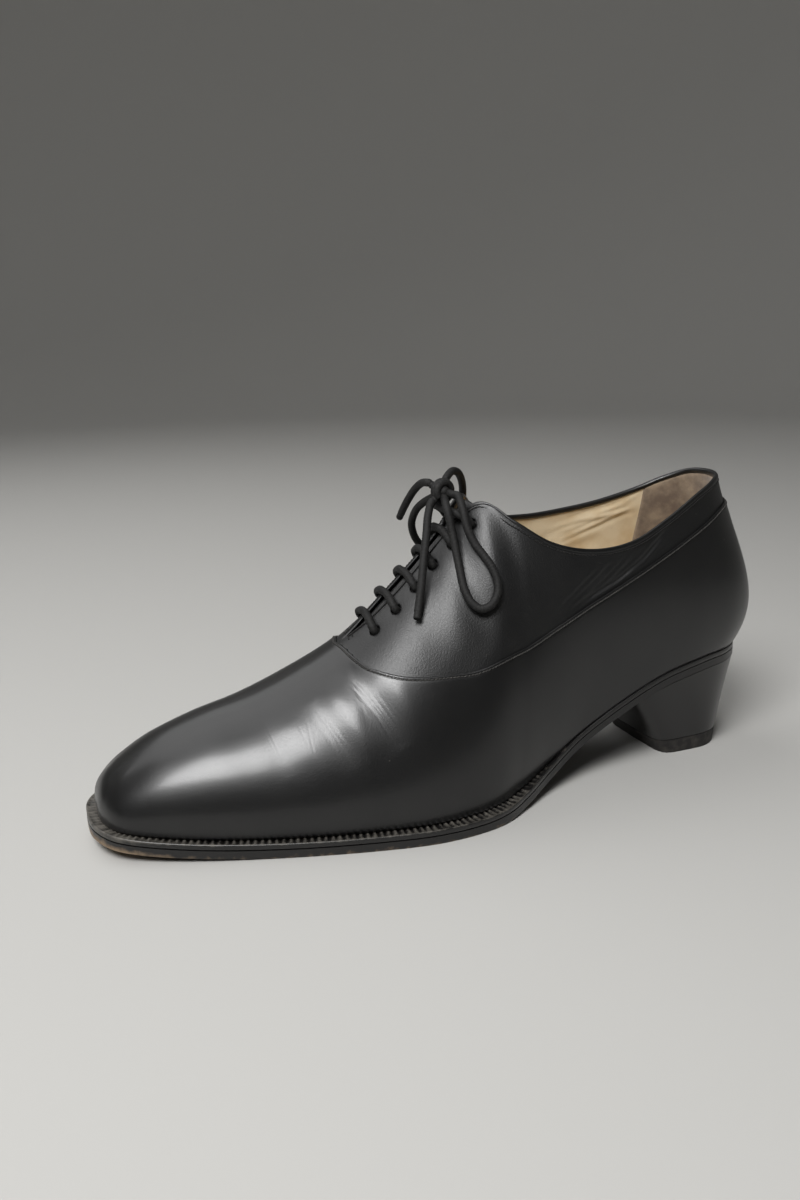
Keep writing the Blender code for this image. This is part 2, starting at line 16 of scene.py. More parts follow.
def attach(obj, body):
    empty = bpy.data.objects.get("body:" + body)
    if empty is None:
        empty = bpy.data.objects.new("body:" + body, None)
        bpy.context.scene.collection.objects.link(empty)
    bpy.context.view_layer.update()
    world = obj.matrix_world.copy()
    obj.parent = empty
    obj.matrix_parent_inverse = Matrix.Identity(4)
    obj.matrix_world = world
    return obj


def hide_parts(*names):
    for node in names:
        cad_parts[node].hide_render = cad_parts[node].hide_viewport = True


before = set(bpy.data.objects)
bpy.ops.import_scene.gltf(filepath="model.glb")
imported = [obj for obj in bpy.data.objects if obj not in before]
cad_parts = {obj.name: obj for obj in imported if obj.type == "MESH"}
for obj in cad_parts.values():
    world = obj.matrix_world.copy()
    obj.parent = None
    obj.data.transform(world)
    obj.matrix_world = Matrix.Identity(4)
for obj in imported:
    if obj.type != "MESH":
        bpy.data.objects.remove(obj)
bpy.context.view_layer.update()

bl_info = {
    "name": "Closed-Lacing Heeled Shoe",
    "version": (1, 0, 0),
    "blender": (4, 5, 0),
    "location": "3D View > Sidebar > Shoe",
    "description": "Leather, seams, laces, welt and heel of one shoe, and a studio stage",
    "category": "Add Mesh",
}

MM = 0.001

# Driving dimensions of the last and of the heel
LAST_LENGTH = 256.8 * MM
BALL_WIDTH = 79.4 * MM
INSTEP_HEIGHT = 105.7 * MM
HEEL_SEAT_HEIGHT = 41.3 * MM
HEEL_TIP_LENGTH = 32.6 * MM
HEEL_TIP_WIDTH = 38.6 * MM

# Thickness of each layer, and the gap that pieces keep where they meet
GAP = 0.3 * MM
UPPER_WALL = 1.8 * MM
WELT_THICKNESS = 1.9 * MM
OUTSOLE_THICKNESS = 2.8 * MM
INSOLE_THICKNESS = 2.6 * MM
TONGUE_THICKNESS = 1.8 * MM
TOP_PIECE_THICKNESS = 6.0 * MM
SOLE_STACK = OUTSOLE_THICKNESS + WELT_THICKNESS + 2 * GAP
WELT_TUCK = 4.5 * MM
INSOLE_INSET = UPPER_WALL + 0.5 * MM

# Sections of the last, from the heel back to the toe. In per cent: foot and top of LAST_LENGTH from the
# heel bulge, lateral, medial and top sides of BALL_WIDTH, seat of the rise from ball to heel seat, heights
# of INSTEP_HEIGHT. In millimetres: the welt's margin, and the rib's handles (rise and lean at the feather
# line, reach and drop at the top).
SECTION_COLUMNS = (
    "section", "foot", "lateral", "medial", "seat", "margin",
    "top", "top_lateral", "top_medial", "height_lateral", "height_medial",
    "rise", "lean_lateral", "lean_medial", "reach", "drop",
)
SECTIONS = (
    ("heel back", 2.2, 0.0, 0.0, 100.0, 0.5, 6.3, 0.0, 0.0, 102.8, 102.8, 20, 15.0, 15.0, 7.0, 28),
    ("heel curve", 3.3, 14.9, -14.9, 100.0, 0.5, 7.2, 12.0, -12.0, 102.4, 101.8, 20, 13.0, 13.0, 7.0, 28),
    ("heel corner", 7.0, 25.4, -25.4, 100.0, 0.5, 10.1, 20.9, -20.9, 100.9, 98.4, 22, 9.5, 9.5, 6.0, 26),
    ("heel side", 12.8, 31.0, -29.7, 98.1, 0.5, 14.0, 26.2, -26.7, 97.6, 94.2, 24, 6.5, 6.5, 5.0, 24),
    ("seat", 19.9, 32.5, -29.7, 87.5, 0.5, 19.9, 30.5, -31.0, 90.8, 90.2, 26, 6.0, 5.0, 4.5, 22),
    ("ankle", 26.9, 32.2, -27.7, 65.8, 0.6, 26.1, 33.2, -33.2, 84.8, 88.0, 28, 6.5, 5.0, 5.0, 22),
    ("shank", 33.9, 32.7, -26.2, 39.7, 0.9, 32.3, 33.0, -33.0, 83.4, 87.2, 32, 7.0, 7.0, 6.0, 22),
    ("waist", 40.1, 36.8, -27.0, 16.4, 2.2, 38.4, 30.2, -30.2, 86.7, 88.9, 34, 7.0, 10.0, 8.0, 22),
    ("arch end", 45.6, 44.1, -29.5, 4.4, 3.8, 43.4, 23.3, -23.3, 94.4, 95.6, 34, 6.0, 10.0, 10.0, 20),
    ("facing top", 50.2, 50.9, -33.5, 1.1, 4.6, 47.1, 10.1, -10.1, 99.9, 100.1, 32, 5.0, 9.0, 15.0, 8),
    ("instep", 54.9, 54.0, -37.5, 0.0, 4.6, 52.4, 2.0, -2.0, 87.2, 87.2, 28, 4.0, 7.5, 19.0, 3),
    ("lateral joint", 60.4, 54.4, -41.8, 0.0, 4.2, 59.6, 2.0, -2.0, 69.9, 69.9, 25, 3.0, 5.5, 21.0, 1.5),
    ("throat base", 66.6, 51.1, -44.8, 0.0, 3.8, 66.0, 0.0, 0.0, 57.0, 57.0, 23, 2.5, 4.0, 20.5, 1),
    ("medial joint", 73.6, 45.6, -45.6, 0.0, 3.5, 72.8, -1.9, -1.9, 47.9, 47.9, 21, 2.5, 2.5, 19.0, 1),
    ("tread", 80.6, 39.0, -43.6, 0.8, 3.3, 79.4, -3.1, -3.1, 41.2, 41.2, 19, 2.0, 2.0, 18.0, 1),
    ("toes", 87.6, 31.7, -39.4, 3.1, 3.2, 85.7, -4.0, -4.0, 37.2, 37.2, 17, 2.0, 2.0, 16.0, 1),
    ("toe box", 93.8, 23.9, -32.7, 6.7, 3.2, 90.7, -4.7, -4.7, 33.3, 33.3, 14, 2.0, 2.0, 13.0, 1),
    ("toe corner", 97.9, 16.4, -25.8, 10.0, 3.3, 93.8, -5.0, -5.0, 29.9, 29.9, 11, 2.0, 2.0, 9.0, 1),
    ("toe curve", 99.7, 6.3, -16.1, 11.7, 3.5, 95.4, -5.0, -5.0, 27.6, 27.6, 10, 1.5, 1.5, 7.0, 1),
    ("toe tip", 100.0, -4.8, -4.8, 12.1, 3.6, 95.9, -5.0, -5.0, 26.9, 26.9, 10, 1.5, 1.5, 6.5, 1),
)
TOE_ROW = len(SECTIONS) - 1
ROUND = 2 * TOE_ROW
THROAT_ROW = 12
FACING_TOP_ROW = 9
HEEL_BULGE_X = -3.0 * MM
RIDGE_FOLLOW = (170.0 * MM, 230.0 * MM)
STEEPEST_RIDGE = -1.2

# Fineness of slopes, of looked-up curves and of meshes, and the distances within which points are welded
STEP = 0.001
CURVE_STEPS = 40
WELD = 0.08 * MM
TUBE_WELD = WELD / 200
TUBE_SIDE = (0.13, 0.34, 0.93)
RIB_ROWS = 11
SOLE_COLUMNS = 3
PLATE_COLUMNS = 12
RIDGE_POINTS = 600
FACING_POINTS = 900
COLLAR_POINTS = 700
HEEL_CUTS = 24
LIFT_CUTS = 20

# Lower panel: columns to a section, rows up a rib, and where its shape changes (from, over how much)
VAMP_COLUMNS = (9, 66)
VAMP_ZONES = ((11.15, 13.8),)
VAMP_ROWS = 46
VAMP_EDGE_ROWS = np.array((5.0, 4.0, 3.2, 2.5, 1.95, 1.55, 1.2, 0.85, 0.55, 0.3, 0.12, 0.0)) * MM
VAMP_RIB = 58 * MM
EVEN_ROWS_FROM = (12.3, 0.8)
ROUNDED_FROM = (12.1, 0.6)
RIDGE_ROUNDING = 6.0 * MM
RIDGE_BAND = (0.96, 0.04)
STEADY_FROM = (16.0, 1.5)
STEADY_DROP = 0.14

# Even patch at the end of the vamp's ridge: radii of patch and blend, directions, and how it is fitted
TOE_PATCH = (4.5 * MM, 10.5 * MM)
TOE_FACING = (0.6, 0.0, 0.8)
TOE_AHEAD = (0.8, 0.0, -0.6)
TOE_RINGS = 6
TOE_RIM_REACH = 1.7
TOE_FIT_REACH = 1.6
TOE_BLEND = 0.7
TOE_FIT_ORDER = 4

# Turned edges as width and drop, and the groove that a row of stitches pulls into the leather
VAMP_TURNED_EDGE = (0.6 * MM, 0.3 * MM)
QUARTER_TURNED_EDGE = (0.7 * MM, 0.35 * MM)
VAMP_GROOVE = 0.14 * MM
QUARTER_GROOVE = 0.12 * MM
GROOVE_WIDTH = 0.4 * MM

# Stitches: rings and sides of the thread, its rise and dip in thread widths, how deep each row sits and where
STITCH_RINGS = 7
STITCH_SIDES = 7
STITCH_RISE = 0.25
STITCH_DIP = 0.95
SEAM_ROW_SUNK = 0.05 * MM
SEAM_SLANT = 0.25
COLLAR_ROW_END = 9.4
COLLAR_ROW_BELOW = 0.55 * MM
COLLAR_ROW_SUNK = 0.04 * MM
FACING_ROW_INSET = 1.5
TACKS = (0.10, 0.18)
TACK_LEVELS = (0.93, 0.98)
TACK_POINTS = 12

# Heel block: lengths at the bottom and under the outsole, and how its outline is shaped
HEEL_TIP_BACK = 9.4 * MM
HEEL_TOP_BACK = 2.6 * MM
HEEL_TOP_FRONT = 60.0 * MM
HEEL_SIDE_CURVE = 1.2
HEEL_BACK_POWER = 2.2
HEEL_BREAST_POWER = 7.0
HEEL_INSET = 0.2 * MM

# Welt: columns, notches, lip, and its section by corners: shares of margin, lip and thickness, mm inwards
WELT_STEP = 2.4 * MM
NOTCH_COLUMNS = 6
NOTCHED_FROM = (6.6, 0.6)
NOTCHED_MARGIN = (1.2, 1.4)
NOTCH_STEEPNESS = 1.5
NOTCH_FLAT = 0.35
NOTCH_FADE = 0.6
WELT_LIP = 0.45 * MM
WELT_LIP_SHARE = 0.4
WELT_INSIDE = 0.3
WELT_SHELF = (0.0, 0.22, 0.42, 0.60, 0.75, 0.86, 0.93, 1.0)
WELT_COLUMNS = ("corner", "margin", "lip", "inward", "lip_down", "down", "notch")
WELT_EDGE = (
    ("tuck, top", 0.0, 0.0, WELT_TUCK / MM, 0.0, 0.0, 0.0),
    ("lip", 1.0, -0.3, 0.0, 0.1, 0.0, 0.0),
    ("side, top", 1.0, 0.0, 0.0, 0.9, 0.0, 0.0),
    ("side, middle", 1.0, 0.0, 0.0, 0.0, 0.5, 0.0),
    ("side, low", 1.0, 0.0, 0.0, -0.4, 1.0, 0.0),
    ("under", 1.0, -0.5, 0.0, 0.0, 1.0, 0.0),
    ("tuck, low", 0.0, 0.0, WELT_TUCK / MM, 0.0, 1.0, 0.0),
)

# Where ink is rubbed off, and where the welt's painted highlight grows: a length from the heel, and how far
# it takes to grow
RUBBED_FROM = (60 * MM, 60 * MM)
WELT_TOE = (225 * MM, 25 * MM)
SOLE_TOE = (232 * MM, 22 * MM)

# Tongue: sections that it spans, its width down the rib, its length above the facings, and its crown
TONGUE_ROWS = (13.0, 9.5)
TONGUE_EDGE = 8.0 / 11.0
TONGUE_RISE = 7.5 * MM
TONGUE_CLEARANCE = 0.5 * MM
TONGUE_CROWN = 0.9 * MM
TONGUE_CROWN_WIDTH = 0.14
TONGUE_BRIDGE = 0.22
TONGUE_CORNER = 0.35
TONGUE_BANDS = 9
TONGUE_POINTS = (49, 91)

# Lacing: six pairs of eyelets, measured from the base of the throat along the facing edge
LACE_DIAMETER = 2.8 * MM
FIRST_EYELET = 12.0 * MM
EYELET_PITCH = 9.95 * MM
EYELET_INSETS = (9.8 * MM, 7.0 * MM)
LACE_BARS = 5
KNOT_CENTRE = np.array((126.8, -0.6, 108.6)) * MM
KNOT_RADII = np.array((4.4, 4.8, 4.4)) * MM
CROSSING_ARCH = 1.25
CROSSING_SPAN = 1.3
EYELET_DISH = (0.25 * MM, 2.6 * MM)
EYELET_SINK = 0.12 * MM
PUNCH_REACH = 2.2

# Lace: rings and sides of the cord, its waxed tip, and its way into an eyelet in shares of its radius
LACE_RING = 0.28 * MM
LACE_SIDES = 32
LACE_LIFT = 0.12 * MM
LACE_TIP = 2.6 * MM
TIP_EDGE = 0.3 * MM
TIP_GROOVE = 0.16 * MM
TIP_BINDING = 0.06 * MM
LACE_TURN = (0.30, 0.1)
LACE_SUNK = (1.6, 0.25)

# Knot: roots and core in lace radii, the core's points in millimetres, and the strand wound round it
KNOT_ROOT = np.array((0.35, 0.2, 0.35))
KNOT_ROOT_SIZE = 0.98
KNOT_CORE_SIZE = 1.35
KNOT_CORE = ((0.3, -5.0, 0.2), (0.0, -1.5, -0.3), (0.2, 1.5, 0.2), (0.1, 3.6, 0.0))
KNOT_TURNS = (-0.15, 1.45)
KNOT_DRIFT = (-1.5, 1.7)
KNOT_WIND = (3.1 * MM, 0.5 * MM, 3.2 * MM)
KNOT_WIND_POINTS = 90
KNOT_WIND_STEP = 6

# Routes of the bow's cords past the knot, in millimetres from the heel end of the last. A loop leaves the
# knot towards its first point and comes back to it from its last one.
LOOP_LATERAL = (
    (124.6, 7.6, 107.8), (125.1, 12.2, 103.8), (125.0, 15.4, 98.2), (123.7, 17.9, 93.4), (121.8, 21.0, 89.6),
    (120.1, 24.3, 85.7), (119.3, 26.7, 81.5), (120.1, 28.4, 77.3), (122.8, 29.3, 74.0), (126.2, 28.5, 72.9),
    (128.8, 26.0, 75.0), (129.8, 22.6, 79.3), (129.5, 18.8, 84.5), (129.2, 15.3, 90.2), (129.2, 12.4, 96.0),
    (129.6, 9.4, 103.2),
)
LOOP_MEDIAL = (
    (123.6, -4.4, 112.8), (120.0, -7.4, 114.4), (115.8, -11.2, 113.0), (112.2, -15.6, 108.8),
    (109.8, -20.0, 103.4), (108.9, -23.6, 97.4), (110.0, -26.4, 91.0), (112.8, -28.0, 85.8),
    (117.0, -28.2, 82.8), (121.6, -27.2, 82.6), (125.8, -25.4, 85.2), (129.0, -23.0, 89.6),
    (130.8, -20.0, 94.6), (130.9, -15.6, 99.8), (129.9, -10.6, 103.4),
)
END_LATERAL = (
    (132.4, 1.2, 104.8), (134.6, 3.7, 100.8), (136.2, 6.2, 96.4), (137.8, 8.6, 92.2), (139.5, 10.9, 87.8),
    (141.3, 13.7, 82.9), (143.0, 16.1, 78.0), (144.6, 18.0, 73.5), (146.5, 20.6, 69.6),
)
END_MEDIAL = (
    (130.6, -4.9, 111.4), (131.2, -9.5, 110.6), (131.8, -14.5, 107.6), (132.2, -19.3, 103.6),
    (132.4, -23.8, 99.4), (132.3, -28.6, 94.8),
)

# Edge where the lower panel laps over the quarters: share of the rib's height at a section number
SEAM = (
    (0.0, 0.880), (1.0, 0.876), (2.0, 0.862), (3.0, 0.829), (4.0, 0.815), (5.0, 0.806), (6.0, 0.725),
    (7.0, 0.612), (8.0, 0.502), (9.0, 0.428), (10.0, 0.450), (11.0, 0.550), (11.62, 0.669), (11.88, 0.775),
    (12.03, 0.900), (12.12, 1.000),
)
SEAM_END = SEAM[-1][0]

# Quarters: where they end under the lower panel, columns and rows, and how the facings are cut back
QUARTER_END = 12.30
QUARTER_UNDERLAP = 0.13
QUARTER_LOWEST = 0.2
QUARTER_COLUMNS = (11, 34)
QUARTER_ZONES = ((4.0, 7.5), (9.0, 12.3))
QUARTER_ROWS = 40
QUARTER_EDGE_ROWS = np.array((4.0, 3.0, 2.2, 1.6, 1.1, 0.7, 0.4, 0.2, 0.0)) * MM
QUARTER_RIB = 45 * MM
FACING_ROUND = 0.2
FACING_CUT = 0.024
FACING_OPENS = (9.7, 0.5)
FACING_CLOSES = 0.5
FACING_STITCHED = (FACING_TOP_ROW + 0.45, THROAT_ROW - 0.1)

# Collar's binding: its section in millimetres outwards and upwards, and how it thins at its ends
COLLAR_END = 9.75
BINDING_OUTLINE = (
    (0.280, -1.00), (0.581, -1.00), (0.721, -0.86), (0.791, -0.55), (0.777, -0.22), (0.651, 0.030),
    (0.385, 0.240), (0.000, 0.300), (-0.385, 0.255), (-0.770, 0.030), (-0.973, -0.25), (-1.029, -0.70),
    (-0.945, -1.00), (-0.455, -1.00),
)
BINDING_DEPTH = 0.98
BINDING_BELOW = 0.985
BINDING_TAPER = 0.7
BINDING_LEAST = (0.8, 0.5)

# Lining: depth under the outside of the last, columns and rows, its upper edge, and where shade is painted on
# it
LINING_DEPTH = 2.15 * MM
COLLAR_DEPTH = 1.55 * MM
SKIVED_FROM = (0.86, 0.12)
LINING_END = 17.2
LINING_COLUMNS = 341
LINING_ROWS = (28, 40)
LINING_FINE_FROM = 0.7
LINING_TOP = (0.990, 0.035)
LINING_FACING_FROM = (9.0, 0.5)
LINING_FACING_END = (12.6, 0.4)
LINING_THICKNESS = 0.2 * MM
PAINTED_SHADE_FROM = 9.8
PAINTED_SHADE_ROUND_EYELET = 6.5 * MM
PAINTED_SHADE_BELOW_EDGE = 5.0 * MM

# How far a crease reaches, how it fades, and the low swells beside its trough, in shares of its half width
CREASE_REACH = 4
CREASE_FADE = 0.6
SWELL_HEIGHT = 0.45
SWELL_AWAY = 1.9
SWELL_WIDTH = 0.9

# Creases of the leather: the first and last place of each (section number, share of the rib's
# height), its half width and its depth in millimetres. A section above TOE_ROW is on the medial side.
CREASE_COLUMNS = ("start", "end", "width", "depth")
VAMP_CREASES = (
    ((12.24, 0.80), (11.42, 0.33), 5.0, 0.40),
    ((12.26, 0.78), (11.44, 0.35), 0.45, 0.060),
    ((12.20, 0.72), (11.75, 0.42), 0.35, 0.042),
    ((12.12, 0.68), (11.60, 0.36), 0.40, 0.048),
    ((11.98, 0.60), (11.54, 0.35), 0.40, 0.054),
    ((11.88, 0.58), (11.48, 0.38), 0.30, 0.036),
    ((11.80, 0.58), (11.37, 0.35), 0.40, 0.054),
    ((11.66, 0.56), (11.28, 0.37), 0.35, 0.036),
    ((11.56, 0.54), (11.22, 0.38), 0.35, 0.030),
    ((12.84, 0.68), (12.36, 0.31), 4.5, 0.24),
    ((12.80, 0.64), (12.42, 0.35), 0.40, 0.054),
    ((12.70, 0.58), (12.39, 0.36), 0.35, 0.048),
    ((12.60, 0.55), (12.32, 0.38), 0.30, 0.036),
    ((12.90, 0.60), (12.60, 0.40), 0.30, 0.030),
    ((12.98, 0.60), (13.00, 0.42), 0.35, 0.016),
    ((13.16, 0.60), (13.05, 0.46), 0.30, 0.024),
    ((13.72, 0.70), (13.50, 0.34), 3.5, 0.10),
    ((13.71, 0.66), (13.53, 0.40), 0.30, 0.030),
    ((13.75, 0.62), (13.61, 0.44), 0.26, 0.018),
    ((25.70, 0.74), (26.45, 0.34), 5.0, 0.38),
    ((25.74, 0.74), (26.50, 0.34), 0.45, 0.060),
    ((25.98, 0.64), (26.36, 0.37), 0.40, 0.048),
    ((26.20, 0.58), (26.62, 0.37), 0.35, 0.042),
    ((25.86, 0.70), (26.22, 0.42), 0.30, 0.036),
    ((25.20, 0.68), (25.60, 0.32), 4.5, 0.22),
    ((25.24, 0.64), (25.58, 0.35), 0.40, 0.054),
    ((25.06, 0.60), (25.40, 0.38), 0.35, 0.036),
    ((24.34, 0.66), (24.52, 0.38), 0.35, 0.042),
)
QUARTER_CREASES = (
    ((7.60, 0.64), (4.30, 0.93), 5.5, 0.40),
    ((7.40, 0.60), (5.95, 0.90), 0.7, 0.23),
    ((7.23, 0.61), (5.62, 0.92), 0.7, 0.27),
    ((7.02, 0.63), (5.25, 0.93), 0.6, 0.23),
    ((6.80, 0.66), (4.90, 0.94), 0.7, 0.28),
    ((6.60, 0.69), (4.75, 0.94), 0.6, 0.23),
    ((6.40, 0.71), (4.58, 0.94), 0.7, 0.28),
    ((6.18, 0.74), (4.40, 0.94), 0.6, 0.23),
    ((5.98, 0.76), (4.24, 0.94), 0.7, 0.25),
    ((5.60, 0.80), (4.12, 0.95), 0.6, 0.19),
    ((5.12, 0.83), (4.04, 0.95), 0.7, 0.21),
    ((9.66, 0.86), (9.38, 0.46), 4.5, 0.55),
    ((10.30, 0.80), (9.95, 0.48), 5.0, -0.30),
    ((9.10, 0.70), (8.85, 0.50), 4.0, 0.20),
    ((30.70, 0.64), (33.60, 0.93), 5.5, 0.38),
    ((31.00, 0.64), (32.70, 0.92), 0.7, 0.25),
    ((31.30, 0.66), (33.00, 0.93), 0.6, 0.21),
    ((31.60, 0.70), (33.30, 0.94), 0.7, 0.25),
    ((32.10, 0.76), (33.80, 0.94), 0.7, 0.21),
    ((28.34, 0.84), (28.60, 0.48), 4.5, 0.45),
)
LINING_FOLDS = (
    ((32.60, 0.80), (35.10, 0.92), 1.6, 0.50),
    ((32.80, 0.87), (35.00, 0.97), 1.2, 0.35),
    ((33.40, 0.91), (35.15, 0.87), 1.0, 0.30),
    ((32.20, 0.72), (34.20, 0.80), 2.2, 0.40),
    ((32.90, 0.84), (35.20, 0.945), 0.8, 0.28),
    ((33.20, 0.88), (35.25, 0.960), 0.7, 0.25),
    ((33.00, 0.78), (34.90, 0.890), 0.8, 0.24),
    ((33.60, 0.93), (34.90, 0.915), 0.7, 0.20),
    ((3.60, 0.88), (6.00, 0.82), 1.6, 0.40),
    ((3.40, 0.80), (5.20, 0.70), 1.8, 0.35),
)

# Heel grip: section of its front edge at feather line and collar, its levels, rough sizes and skived edge
GRIP_EDGE = (34.65, 35.38)
GRIP_LEVELS = (0.22, 0.985)
GRIP_POINTS = (81, 45)
GRIP_SECTION = 13 * MM
GRIP_HEIGHT = 60 * MM
GRIP_THICKNESS = 0.38 * MM
GRIP_SKIVE = 0.8 * MM
GRIP_GLUE = 0.1 * MM
GRIP_WALL = 0.3 * MM

# Camera and picture: the view's place on the last, its direction and its picture size
CAMERA_PLACE = np.array((274.4, 323.9, 167.9)) * MM
CAMERA_AZIMUTH = 68.1
CAMERA_ELEVATION = 15.5
CAMERA_ROLL = -1.18
FOCAL_PIXELS = 1017.0
PICTURE_HEIGHT = 1200.0
SENSOR_SIZE = 36.0

# Stage: radii of the floor and height of its wall, and for each lamp its name, place, aim and size
FLOOR_HUB = 0.02
FLOOR_MIDDLE = 0.6
FLOOR_FLAT = 1.5
FLOOR_BEND = 0.9
WALL_HEIGHT = 2.2
FLOOR_STEPS = 96
LAMPS = (
    ("key", (0.47, 0.46, 0.85), (0.03, 0.0, 0.05), (0.42, 0.42)),
    ("fill", (0.30, -0.50, 0.90), (0.03, 0.0, 0.05), (0.9, 0.9)),
    ("room", (0.0, -0.6, 2.1), (0.0, -0.9, 0.0), (3.2, 2.4)),
)


def to_linear(hex_colour):
    """Linear RGB of an sRGB hex colour."""
    values = [int(hex_colour[place:place + 2], 16) / 255 for place in (1, 3, 5)]
    return tuple(v / 12.92 if v <= 0.04045 else ((v + 0.055) / 1.055)**2.4 for v in values)


# The last: the same curves as the solids were built on

def column(name):
    """One column of the section table."""
    place = SECTION_COLUMNS.index(name)
    return np.array([row[place] for row in SECTIONS], float)


def around(lateral, medial):
    """Two half lists joined into one that runs heel, lateral side, toe, medial side."""
    return np.concatenate([lateral, medial[-2:0:-1]])


def scaled_sections():
    """The section table in metres, as lists that close round the foot."""
    rise_of_seat = HEEL_SEAT_HEIGHT - SOLE_STACK
    foot = HEEL_BULGE_X + column("foot") / 100 * LAST_LENGTH
    seat = SOLE_STACK + column("seat") / 100 * rise_of_seat
    top = HEEL_BULGE_X + column("top") / 100 * LAST_LENGTH
    side_names = ("lateral", "medial", "top_lateral", "top_medial")
    height_names = ("height_lateral", "height_medial")
    sides = {name: column(name) / 100 * BALL_WIDTH for name in side_names}
    heights = {name: column(name) / 100 * INSTEP_HEIGHT for name in height_names}
    lists = {
        "foot_x": around(foot, foot),
        "foot_y": around(sides["lateral"], sides["medial"]),
        "foot_z": around(seat, seat),
        "top_x": around(top, top),
        "top_y": around(sides["top_lateral"], sides["top_medial"]),
        "top_z": around(heights["height_lateral"], heights["height_medial"]),
        "lean": around(column("lean_lateral"), column("lean_medial")) * MM,
    }
    for name in ("rise", "reach", "drop", "margin"):
        lists[name] = around(column(name), column(name)) * MM
    return lists


LAST = scaled_sections()


def curve_value(values, s):
    """Smooth value at section number s of a list that closes on itself, through each of its own values."""
    first = np.floor(s).astype(int)
    t = s - first
    before, start, end, after = (values[(first + step) % len(values)] for step in (-1, 0, 1, 2))
    bend = 2 * before - 5 * start + 4 * end - after
    twist = 3 * start - before - 3 * end + after
    return 0.5 * (2 * start + (end - before) * t + bend * t**2 + twist * t**3)


def point_at(s, part):
    """Foot or top point of the rib at section number s."""
    return np.stack([curve_value(LAST[part + axis], s) for axis in ("_x", "_y", "_z")], -1)


def row_of(s):
    """Row of the section table on either side of the foot."""
    return np.minimum(s % ROUND, ROUND - s % ROUND)


def top_point(s):
    """Top of a rib. From the throat to the toe both sides share the vamp's ridge."""
    own = point_at(s, "top")
    shared = (own + point_at(ROUND - s, "top")) / 2
    return np.where((row_of(s) >= THROAT_ROW)[:, None], shared, own)


def foot_point(s):
    """Point of the feather line, never lower than the sole's thickness."""
    point = point_at(s, "foot")
    point[:, 2] = np.maximum(point[:, 2], SOLE_STACK)
    return point


def outward(s):
    """Level direction that points out of the foot, square to the feather line."""
    run = point_at(s + STEP, "foot") - point_at(s - STEP, "foot")
    flat = np.stack([-run[:, 1], run[:, 0], np.zeros(len(run))], -1)
    return flat / np.linalg.norm(flat, axis=1)[:, None]


def ridge_fall(s):
    """Slope of the vamp's ridge at section number s, held just short of the toe tip."""
    row = np.minimum(row_of(s), TOE_ROW - 0.5)
    run = top_point(row + STEP) - top_point(row - STEP)
    return np.clip(run[:, 2] / np.maximum(run[:, 0], STEP * MM), STEEPEST_RIDGE, 0)


def upper_point(s, h):
    """Outer surface of the upper: s goes round in sections, h from the feather line (0) to the top (1)."""
    s, h = np.broadcast_arrays(np.atleast_1d(np.asarray(s, float)), np.asarray(h, float))
    foot, top, out = foot_point(s), top_point(s), outward(s)
    handles = ("lean", "rise", "reach", "drop")
    lean, rise, reach, drop = (curve_value(LAST[name], s)[:, None] for name in handles)
    follow = np.clip((foot[:, 0] - RIDGE_FOLLOW[0]) / (RIDGE_FOLLOW[1] - RIDGE_FOLLOW[0]), 0, 1)
    slope = (ridge_fall(s) * follow * out[:, 0])[:, None]
    up = np.array((0.0, 0.0, 1.0))
    low_handle = foot + out * lean + up * rise
    high_handle = top + out * reach + up * (slope * reach - drop)
    t = h[:, None]
    low_half = (1 - t)**3 * foot + 3 * (1 - t)**2 * t * low_handle
    high_half = 3 * (1 - t) * t**2 * high_handle + t**3 * top
    return low_half + high_half


def upper_normal(s, h):
    """Unit normal of the upper's outer surface, pointing out."""
    s, h = np.broadcast_arrays(np.atleast_1d(np.asarray(s, float)), np.asarray(h, float))
    inner, outer = np.clip(h - STEP, 0, 1), np.clip(h + STEP, 0, 1)
    below_top = np.minimum(h, 1 - 5 * STEP)
    along = upper_point(s + STEP, below_top) - upper_point(s - STEP, below_top)
    upward = upper_point(s, outer) - upper_point(s, inner)
    return unit(np.cross(upward, along))


def unit(vectors):
    """Vectors brought to length one."""
    return vectors / np.linalg.norm(vectors, axis=-1, keepdims=True)


def sole_edge(s, offset=None):
    """Plan outline at a distance outside the feather line: by default the welt's margin."""
    margin = curve_value(LAST["margin"], s) if offset is None else np.broadcast_to(offset, s.shape)
    return foot_point(s) + outward(s) * margin[:, None]


def feather_profile():
    """Height of the feather line against length, carried on straight past both ends."""
    line = foot_point(np.linspace(0, TOE_ROW, CURVE_STEPS * TOE_ROW + 1))
    toe_box = line[-2 * CURVE_STEPS - 1]
    run = line[-1] - toe_box
    past_heel, past_toe = line[0].copy(), line[-1] + run
    past_heel[0] -= run[0]
    x, _, z = np.vstack([past_heel, line[:-CURVE_STEPS], line[-1], past_toe]).T
    return x, z


PROFILE_X, PROFILE_Z = feather_profile()


def feather_height(x):
    """Height of the feather line at length x."""
    return np.interp(x, PROFILE_X, PROFILE_Z)


def frame_origin():
    """Bottom centre of the shoe's box, measured on the last."""
    back = upper_point(0.0, np.linspace(0, 1, RIB_ROWS + 1))[:, 0].min()
    edge = sole_edge(np.linspace(0, ROUND, ROUND * SOLE_COLUMNS + 1))
    centre_x = (back + edge[:, 0].max()) / 2
    centre_y = (edge[:, 1].min() + edge[:, 1].max()) / 2
    return np.array((centre_x, centre_y, 0.0))


ORIGIN = frame_origin()


# Curves and lists along the leather

def travelled(points):
    """Length from the first point to each point of a line."""
    return np.concatenate([[0.0], np.cumsum(np.linalg.norm(np.diff(points, axis=0), axis=1))])


def read_along(points, length, even):
    """Points of a line read at other lengths along it."""
    return np.stack([np.interp(even, length, axis) for axis in points.T], -1)


